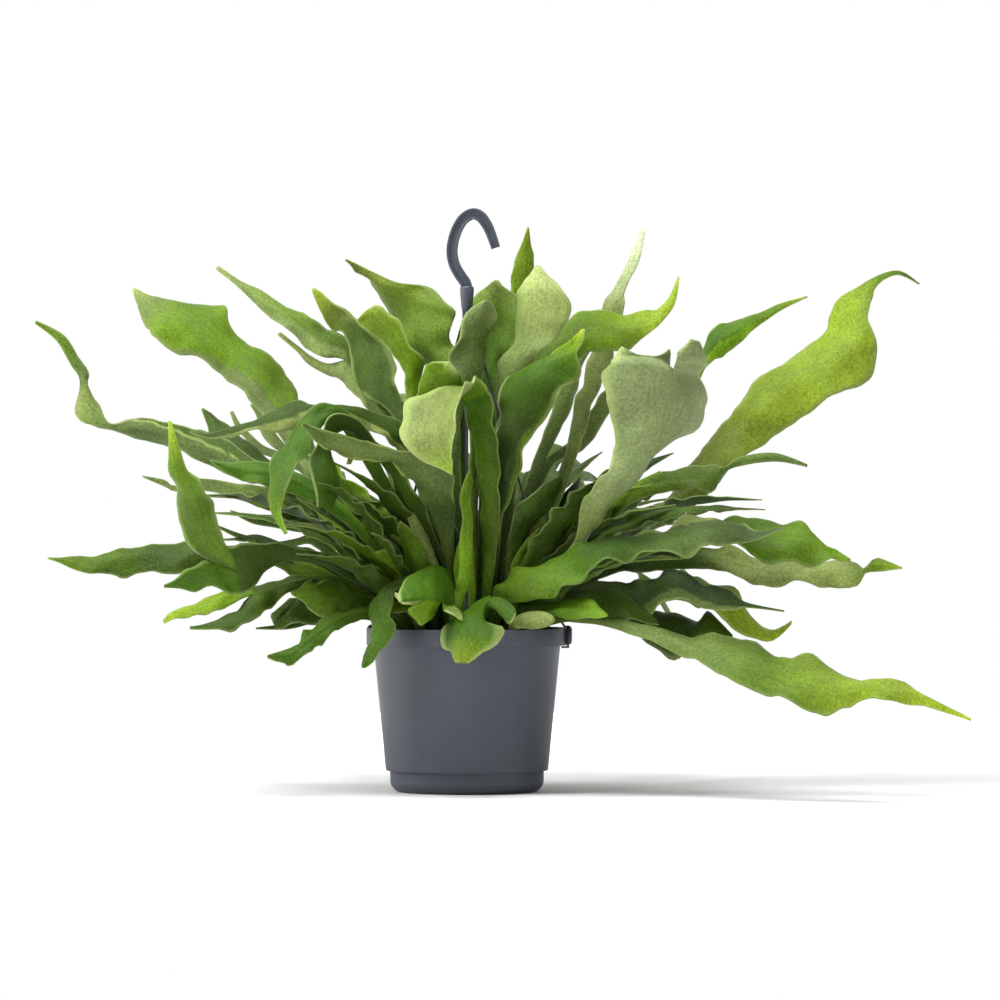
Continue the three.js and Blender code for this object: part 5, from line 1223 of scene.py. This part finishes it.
def frond_tints(sheet, slot, look):
    """The painted tones of the face that turns to the front and of the other one."""
    part, finger, share = (np.array(sheet.layers[name]) for name in ("part", "finger", "share"))
    faces = []
    for usual, side in zip(SLOT_TONES[slot], ("", "" if look["both_sides"] else "back_")):
        # The usual tones start with painted shade: deep and dark at the root, for the shade in the crown
        tint = tones_along(look.get(side + "tones", f"deep 0, dark 0.16, {usual} 0.4, {usual} 1"), part)
        for number, own in look.get(side + "finger_tones", {}).items():
            tint = np.where((finger == number)[:, None], tones_along(own, part), tint)
        faces.append(tint)
    for edge, widths, tone, start, end in look.get("bands", []):
        near = share if edge == 0 else 1 - share
        wide = np.interp(part, (start, (start + end) / 2, end), widths)
        inside_band = smooth(part, start, start + BAND_END) * (1 - smooth(part, end - BAND_END, end))
        weight = ((near < wide) * inside_band)[:, None]
        faces[0] = faces[0] * (1 - weight) + linear(TONES[tone]) * weight
    return faces


def make_frond(frond, own_look, materials, *nodes):
    """One frond with what is painted on it. Gives the points of its surface."""
    look = dict(USUAL_LOOK, **own_look)
    rng = random.Random(frond["name"])
    slot = frond["slot"]
    sheet, facing = frond_sheet(frond, look, rng)
    points, faces = plate(sheet)
    piece = new_piece(frond["name"] + "_blade", points, faces, "frond_" + slot, materials[slot], *nodes)
    layers = {name: np.array(values) for name, values in sheet.layers.items()}
    hairs = (look["hair"], min(look["hair"] + 0.15, 0.7))
    sides = list(zip(frond_tints(sheet, slot, look), hairs))
    if facing > 0:
        sides.reverse()
    paint(piece, "tint", np.concatenate([tint for tint, _ in sides]))
    paint(piece, "hair", np.concatenate([np.full(len(tint), hair) for tint, hair in sides]))
    rim = look["rim"] * (1 - smooth(layers["margin"], 0.1, 1.0)) * smooth(layers["reach"], *RIM_START)
    paint(piece, "rim", np.concatenate([rim, rim]))
    grain = np.stack([layers["across"], layers["reach"], np.full(len(rim), rng.uniform(0, 50))], axis=-1)
    paint(piece, "grain", np.concatenate([grain, grain]))
    return points


def young_frond(number, rng):
    """A small strap, rooted anywhere in the soil: upright or arching, or a longer one reaching to a side."""
    turn = rng.uniform(0, FULL_TURN)
    start = rng.uniform(*YOUNG_START)
    height = rng.uniform(*YOUNG_HEIGHT) * (1.25 - start / 110)
    lean = rng.uniform(*YOUNG_LEAN) * (0.4 + start / 60)
    width = rng.uniform(*YOUNG_WIDTH) * (0.6 + height / 160)
    if rng.random() < REACHING_SHARE:
        turn = rng.choice((0, math.pi)) + rng.uniform(-0.8, 0.8)
        height = rng.uniform(*REACHING_HEIGHT)
        lean = rng.uniform(*REACHING_LEAN)
        width = rng.uniform(*REACHING_WIDTH)
    skew = rng.uniform(-0.6, 0.6)
    twist = turn + math.pi / 2 + rng.uniform(-0.7, 0.7)
    root = (start * math.cos(turn), start * math.sin(turn))
    edges = []
    for step in range(1, YOUNG_STEPS + 1):
        t = step / YOUNG_STEPS
        out = height * lean * t**1.6
        x = root[0] + out * math.cos(turn + skew * t)
        y = root[1] + out * math.sin(turn + skew * t)
        z = SOIL_TOP + height * (t - 0.35 * lean * t**3)
        half = width / 2 * (0.3 + 1.5 * t) * (1 - t**3.5) + 0.5
        side = np.array([math.cos(twist), math.sin(twist), rng.uniform(-0.3, 0.3)]) * half
        if math.cos(twist) < 0:
            side = -side
        edges.append(np.array([(x, y, z) - side, (x, y, z) + side]))
    return dict(name=f"young_{number:02d}", slot=rng.choice(YOUNG_SLOTS), root=root, edges=edges, fingers=[])


def has_room(frond, standing, added):
    """Whether a young frond is clear of the pot, of the fronds that stand there and of the young ones."""
    x, y = frond["root"]
    if y < -YOUNG_FRONT and abs(x) < -y:
        return False
    middles = np.array([edge.mean(0) for edge in frond["edges"]])
    ends = np.concatenate([*frond["edges"], middles, (middles[1:] + middles[:-1]) / 2])
    low = ends[ends[:, 2] < POT_HEIGHT + 3]
    if np.hypot(low[:, 0], low[:, 1]).max(initial=0) > inside(SOIL_TOP) - 3:
        return False
    if min(standing.find(point)[2] for point in ends) < YOUNG_CLEARANCE:
        return False
    return not len(added) or np.linalg.norm(ends[:, None] - added[None], axis=2).min() >= YOUNG_CLEARANCE


def make_young_fronds(materials, taken):
    """Adds small fronds between the others, each where there is room for it."""
    rng = random.Random("young")
    standing = KDTree(len(taken))
    for i, point in enumerate(taken):
        standing.insert(point, i)
    standing.balance()
    added = np.zeros((0, 3))
    count = 0
    for _ in range(YOUNG_TRIES):
        frond = young_frond(count, rng)
        if has_room(frond, standing, added):
            added = np.concatenate([added, make_frond(frond, YOUNG_LOOK, materials)[::YOUNG_SAMPLING]])
            count += 1


# Pot, saucer, soil and hanger


def band(low, high, count):
    """Four-cornered faces between two rings of points, the first from low on and the second from high on."""
    return [(low + i, low + (i + 1) % count, high + (i + 1) % count, high + i) for i in range(count)]


def add_tube(points, faces, rings):
    """Adds a closed body through rings of points, in turn from its first end to its last."""
    start = len(points)
    count = len(rings[0])
    for ring in rings:
        points.extend(ring)
    last = len(points) - count
    for low in range(start, last, count):
        faces.extend(band(low, low + count, count))
    faces.append(tuple(start + i for i in reversed(range(count))))
    faces.append(tuple(last + i for i in range(count)))


def turned(profile, sides=TURNED_SIDES):
    """A closed body turned about the pot's axis, from a profile of (radius, height)."""
    profile = [(max(r, 0.01), z) for r, z in profile]
    count = len(profile)
    points, faces = [], []
    for i in range(sides):
        turn = FULL_TURN * i / sides
        points += [(r * math.cos(turn), r * math.sin(turn), z) for r, z in profile]
        faces += band((i + 1) % sides * count, i * count, count)
    return points, faces


def rounded(corners, radius=0.5, steps=3):
    """A closed outline with its corners rounded."""
    outline = []
    count = len(corners)
    for i in range(count):
        before, corner, after = (np.array(corners[(i + k) % count], float) for k in (-1, 0, 1))
        to_before, to_after = before - corner, after - corner
        cut = min(radius, 0.45 * np.linalg.norm(to_before), 0.45 * np.linalg.norm(to_after))
        start = corner + unit(to_before) * cut
        end = corner + unit(to_after) * cut
        for step in range(steps + 1):
            t = step / steps
            outline.append((1 - t) ** 2 * start + 2 * t * (1 - t) * corner + t**2 * end)
    return [tuple(point) for point in outline]


def inside(height):
    """The pot's inner radius at a height."""
    share = (height - SKIRT_BOTTOM) / (RIM_BOTTOM - SKIRT_BOTTOM)
    return BODY_BOTTOM_RADIUS + (BODY_TOP_RADIUS - BODY_BOTTOM_RADIUS) * share - WALL


def make_pot(material):
    """The pot's wall, floor and rim band."""
    outline = rounded([
        (0, POT_FLOOR), (inside(POT_FLOOR), POT_FLOOR), (inside(SKIRT_BOTTOM), SKIRT_BOTTOM),
        (BODY_BOTTOM_RADIUS, SKIRT_BOTTOM), (BODY_TOP_RADIUS, RIM_BOTTOM), (RIM_RADIUS, RIM_BOTTOM),
        (RIM_RADIUS, POT_HEIGHT), (RIM_RADIUS - WALL, POT_HEIGHT), (RIM_RADIUS - WALL, RIM_BOTTOM + WALL),
        (inside(RIM_BOTTOM), RIM_BOTTOM), (inside(POT_FLOOR + WALL), POT_FLOOR + WALL), (0, POT_FLOOR + WALL),
    ])
    new_piece("pot_shell", *turned(outline), "pot_plastic", material, "pot")


def make_saucer(material):
    """The drip saucer, with a round lower corner and a lip that clicks into the pot's skirt."""
    corner = []
    for i in range(CORNER_STEPS + 1):
        turn = math.pi / 2 * i / CORNER_STEPS
        radius = SAUCER_RADIUS - SAUCER_CORNER * (1 - math.sin(turn))
        corner.append((radius, SAUCER_CORNER * (1 - math.cos(turn))))
    inner = [(r - WALL, z + WALL) for r, z in reversed(corner)]
    outline = [
        (0, 0), *corner, (SAUCER_RADIUS, SAUCER_LIP - 1),
        (inside(SAUCER_LIP) - GAP, SAUCER_LIP), (inside(SAUCER_HEIGHT) - GAP, SAUCER_HEIGHT),
        (SAUCER_RADIUS - WALL, SAUCER_HEIGHT), *inner, (0, WALL),
    ]
    new_piece("saucer_shell", *turned(outline), "pot_plastic", material, "saucer")


def make_soil(material):
    """The soil's body with a lumpy top and loose bits of bark and moss on it."""
    rng = random.Random("soil")
    bottom = POT_FLOOR + WALL + GAP
    top_radius = inside(SOIL_TOP - SOIL_ROUNDING) - GAP
    wall = [(0, bottom), (inside(bottom) - GAP, bottom), (top_radius, SOIL_TOP - SOIL_ROUNDING)]
    top = [(top_radius * ring / SOIL_RINGS, SOIL_TOP) for ring in range(SOIL_RINGS - 1, -1, -1)]
    smooth_points, faces = turned(wall + top, SOIL_SIDES)
    waves = [(rng.uniform(0.12, 0.5), rng.uniform(0, ANY_ANGLE), rng.uniform(0, ANY_ANGLE))
             for _ in range(SOIL_WAVES)]
    points = []
    for x, y, z in smooth_points:
        if z > SOIL_TOP - 1:
            lump = sum(math.sin(f * (x * math.cos(a) + y * math.sin(a)) + shift) for f, a, shift in waves)
            z += WAVE_HEIGHT * lump - WAVE_DROP
        points.append((x, y, z))
    for _ in range(CHIP_COUNT):
        reach = top_radius * math.sqrt(rng.random()) * 0.95
        turn = rng.uniform(0, FULL_TURN)
        add_chip(points, faces, (reach * math.cos(turn), reach * math.sin(turn), SOIL_TOP - 0.5), rng)
    new_piece("soil_top", points, faces, "soil", material, "soil", shade_smooth=False)


def add_chip(points, faces, middle, rng):
    """A flat six-cornered bit of bark, longer one way than the other."""
    size = rng.uniform(*CHIP_SIZE)
    turn = rng.uniform(0, ANY_ANGLE)
    tilt = rng.uniform(-0.6, 0.6)
    rings = []
    for height in (-CHIP_HALF_HEIGHT, CHIP_HALF_HEIGHT):
        ring = []
        for i in range(CHIP_SIDES):
            angle = turn + i * FULL_TURN / CHIP_SIDES
            reach = size * rng.uniform(0.6, 1.1) * (1.6 if i in (0, CHIP_SIDES // 2) else 0.8)
            x, y = reach * math.cos(angle), reach * math.sin(angle)
            ring.append((middle[0] + x, middle[1] + y, middle[2] + height + x * math.sin(tilt)))
        rings.append(ring)
    add_tube(points, faces, rings)


def make_clips(material):
    """The legs' ends: a rounded block on the outside of the rim for each leg."""
    half = CLIP_WIDTH / 2
    outline = rounded([(-half, 0), (half, 0), (half, CLIP_DEPTH), (-half, CLIP_DEPTH)], 1.2, 4)
    bottom = CLIP_TOP - CLIP_HEIGHT
    levels = [(bottom, 0.5), (bottom + 0.6, 0.8), (bottom + 2, 1), (CLIP_TOP - 2, 1), (CLIP_TOP - 0.6, 0.8),
              (CLIP_TOP, 0.5)]
    points, faces = [], []
    for angle in LEG_ANGLES:
        out_x, out_y = math.cos(math.radians(angle)), math.sin(math.radians(angle))
        rings = []
        for z, size in levels:
            places = [(RIM_RADIUS + GAP + out * size, along_rim * size) for along_rim, out in outline]
            rings.append([(r * out_x - s * out_y, r * out_y + s * out_x, z) for r, s in places])
        add_tube(points, faces, rings)
    new_piece("leg_clips", points, faces, "hanger_plastic", material)


def make_hook(material):
    """The hook: a flanged bar swept along its line, with the hub that the legs snap into."""
    wide, deep, web = HOOK_WIDTH / 2, HOOK_DEPTH / 2, HOOK_WEB / 2
    inner = wide - HOOK_FLANGE
    section = rounded([
        (-wide, -deep), (-inner, -deep), (-inner, -web), (inner, -web), (inner, -deep), (wide, -deep),
        (wide, deep), (inner, deep), (inner, web), (-inner, web), (-inner, deep), (-wide, deep),
    ], 0.35, 2)
    line = np.array(HOOK_LINE, float)
    route = np.concatenate([line[:1], curve(line, line[0], HOOK_STEPS)])
    rings = []
    for i, ((x, z), (along_x, along_z)) in enumerate(zip(route, unit(np.gradient(route, axis=0)))):
        width = TIP_WIDTH + (1 - TIP_WIDTH) * min(1, 4 * i / len(route))
        rings.append([(x + along_z * s * width, y, z - along_x * s * width) for s, y in section])
    points, faces = [], []
    add_tube(points, faces, rings)
    hub = rounded([
        (0, HUB_BOTTOM), (HUB_RADIUS - 1.4, HUB_BOTTOM), (HUB_RADIUS - 0.8, HUB_BOTTOM + 3),
        (HUB_RADIUS, HUB_TOP - 4), (HUB_RADIUS, HUB_TOP - 1), (HUB_RADIUS - 1, HUB_TOP), (0, HUB_TOP),
    ], 0.3, 2)
    hub_points, hub_faces = turned(hub, HUB_SIDES)
    start = len(points)
    points += hub_points
    faces += [tuple(start + i for i in face) for face in hub_faces]
    new_piece("hook_bar", points, faces, "hanger_plastic", material, "hanger_hook")


# Stage


def make_floor():
    """A round pale floor that reaches far past the part on all sides."""
    turns = [FULL_TURN * i / FLOOR_SIDES for i in range(FLOOR_SIDES)]
    points = [(FLOOR_RADIUS * math.cos(turn), FLOOR_RADIUS * math.sin(turn), 0.0) for turn in turns]
    floor = new_object("floor", new_mesh("floor", points, [range(FLOOR_SIDES)], floor_material()))


def add_lamp(name, place, size, power):
    """A soft lamp that points at the middle of the part. The one at the back isn't seen itself."""
    light = bpy.data.lights.new(name, "AREA")
    light.shape = "RECTANGLE"
    light.size, light.size_y = (side * MM for side in size)
    light.energy = power
    lamp = new_object(name, light)
    lamp.location = to_frame(place)
    direction = Vector(unit(to_frame(LAMP_AIM) - to_frame(place)))
    lamp.rotation_euler = direction.to_track_quat("-Z", "Y").to_euler()
    lamp.visible_camera = name != "back"


def make_light():
    """The lamps, and a world that looks white but lights the part only a little."""
    for lamp in LAMPS:
        add_lamp(*lamp)
    world = bpy.data.worlds.new("studio")
    world.use_nodes = True
    tree = world.node_tree
    background = tree.nodes["Background"]
    background.inputs["Color"].default_value = (1, 1, 1, 1)
    seen = add_node(tree, "ShaderNodeLightPath").outputs["Is Camera Ray"]
    feed(tree, background.inputs["Strength"], ranged(tree, seen, 0.0, 1.0, WORLD_LIGHT, 1.0))
    bpy.context.scene.world = world


def make_camera():
    """A camera straight in front, level with the middle of the picture."""
    camera = bpy.data.cameras.new("camera")
    camera.sensor_width = SENSOR_WIDTH
    camera.lens = SENSOR_WIDTH * SIGHT_DISTANCE / VIEW_WIDTH
    camera.clip_end = FARTHEST_SEEN * MM
    viewer = new_object("camera", camera)
    viewer.location = to_frame((SIGHT_X, -SIGHT_DISTANCE, SIGHT_Z))
    viewer.rotation_euler = (math.pi / 2, 0, 0)
    bpy.context.scene.camera = viewer


# The whole

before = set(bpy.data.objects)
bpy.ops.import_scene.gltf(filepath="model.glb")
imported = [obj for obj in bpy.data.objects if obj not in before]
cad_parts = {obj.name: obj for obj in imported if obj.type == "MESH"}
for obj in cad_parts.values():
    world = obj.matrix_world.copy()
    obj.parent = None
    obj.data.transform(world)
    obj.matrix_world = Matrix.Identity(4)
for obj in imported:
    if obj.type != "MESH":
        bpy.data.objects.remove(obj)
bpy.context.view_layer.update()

bpy.context.scene.view_settings.view_transform = "Standard"

pot_plastic = pot_material()
hanger_plastic = hanger_material()
make_pot(pot_plastic)
make_saucer(pot_plastic)
make_soil(soil_material())
make_hook(hanger_plastic)
make_clips(hanger_plastic)
for node_name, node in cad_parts.items():
    if node_name.startswith("hanger_leg"):
        node.data.materials.clear()
        node.data.materials.append(hanger_plastic)

frond_materials = {slot: frond_material(slot) for slot in SLOT_TONES}
taken = []
for frond in FRONDS:
    taken.append(make_frond(frond, LOOKS.get(frond["name"], {}), frond_materials, frond["name"]))
for frond in SMALL_FRONDS:
    taken.append(make_frond(frond, {}, frond_materials))
make_young_fronds(frond_materials, np.concatenate(taken))

make_floor()
make_light()
make_camera()
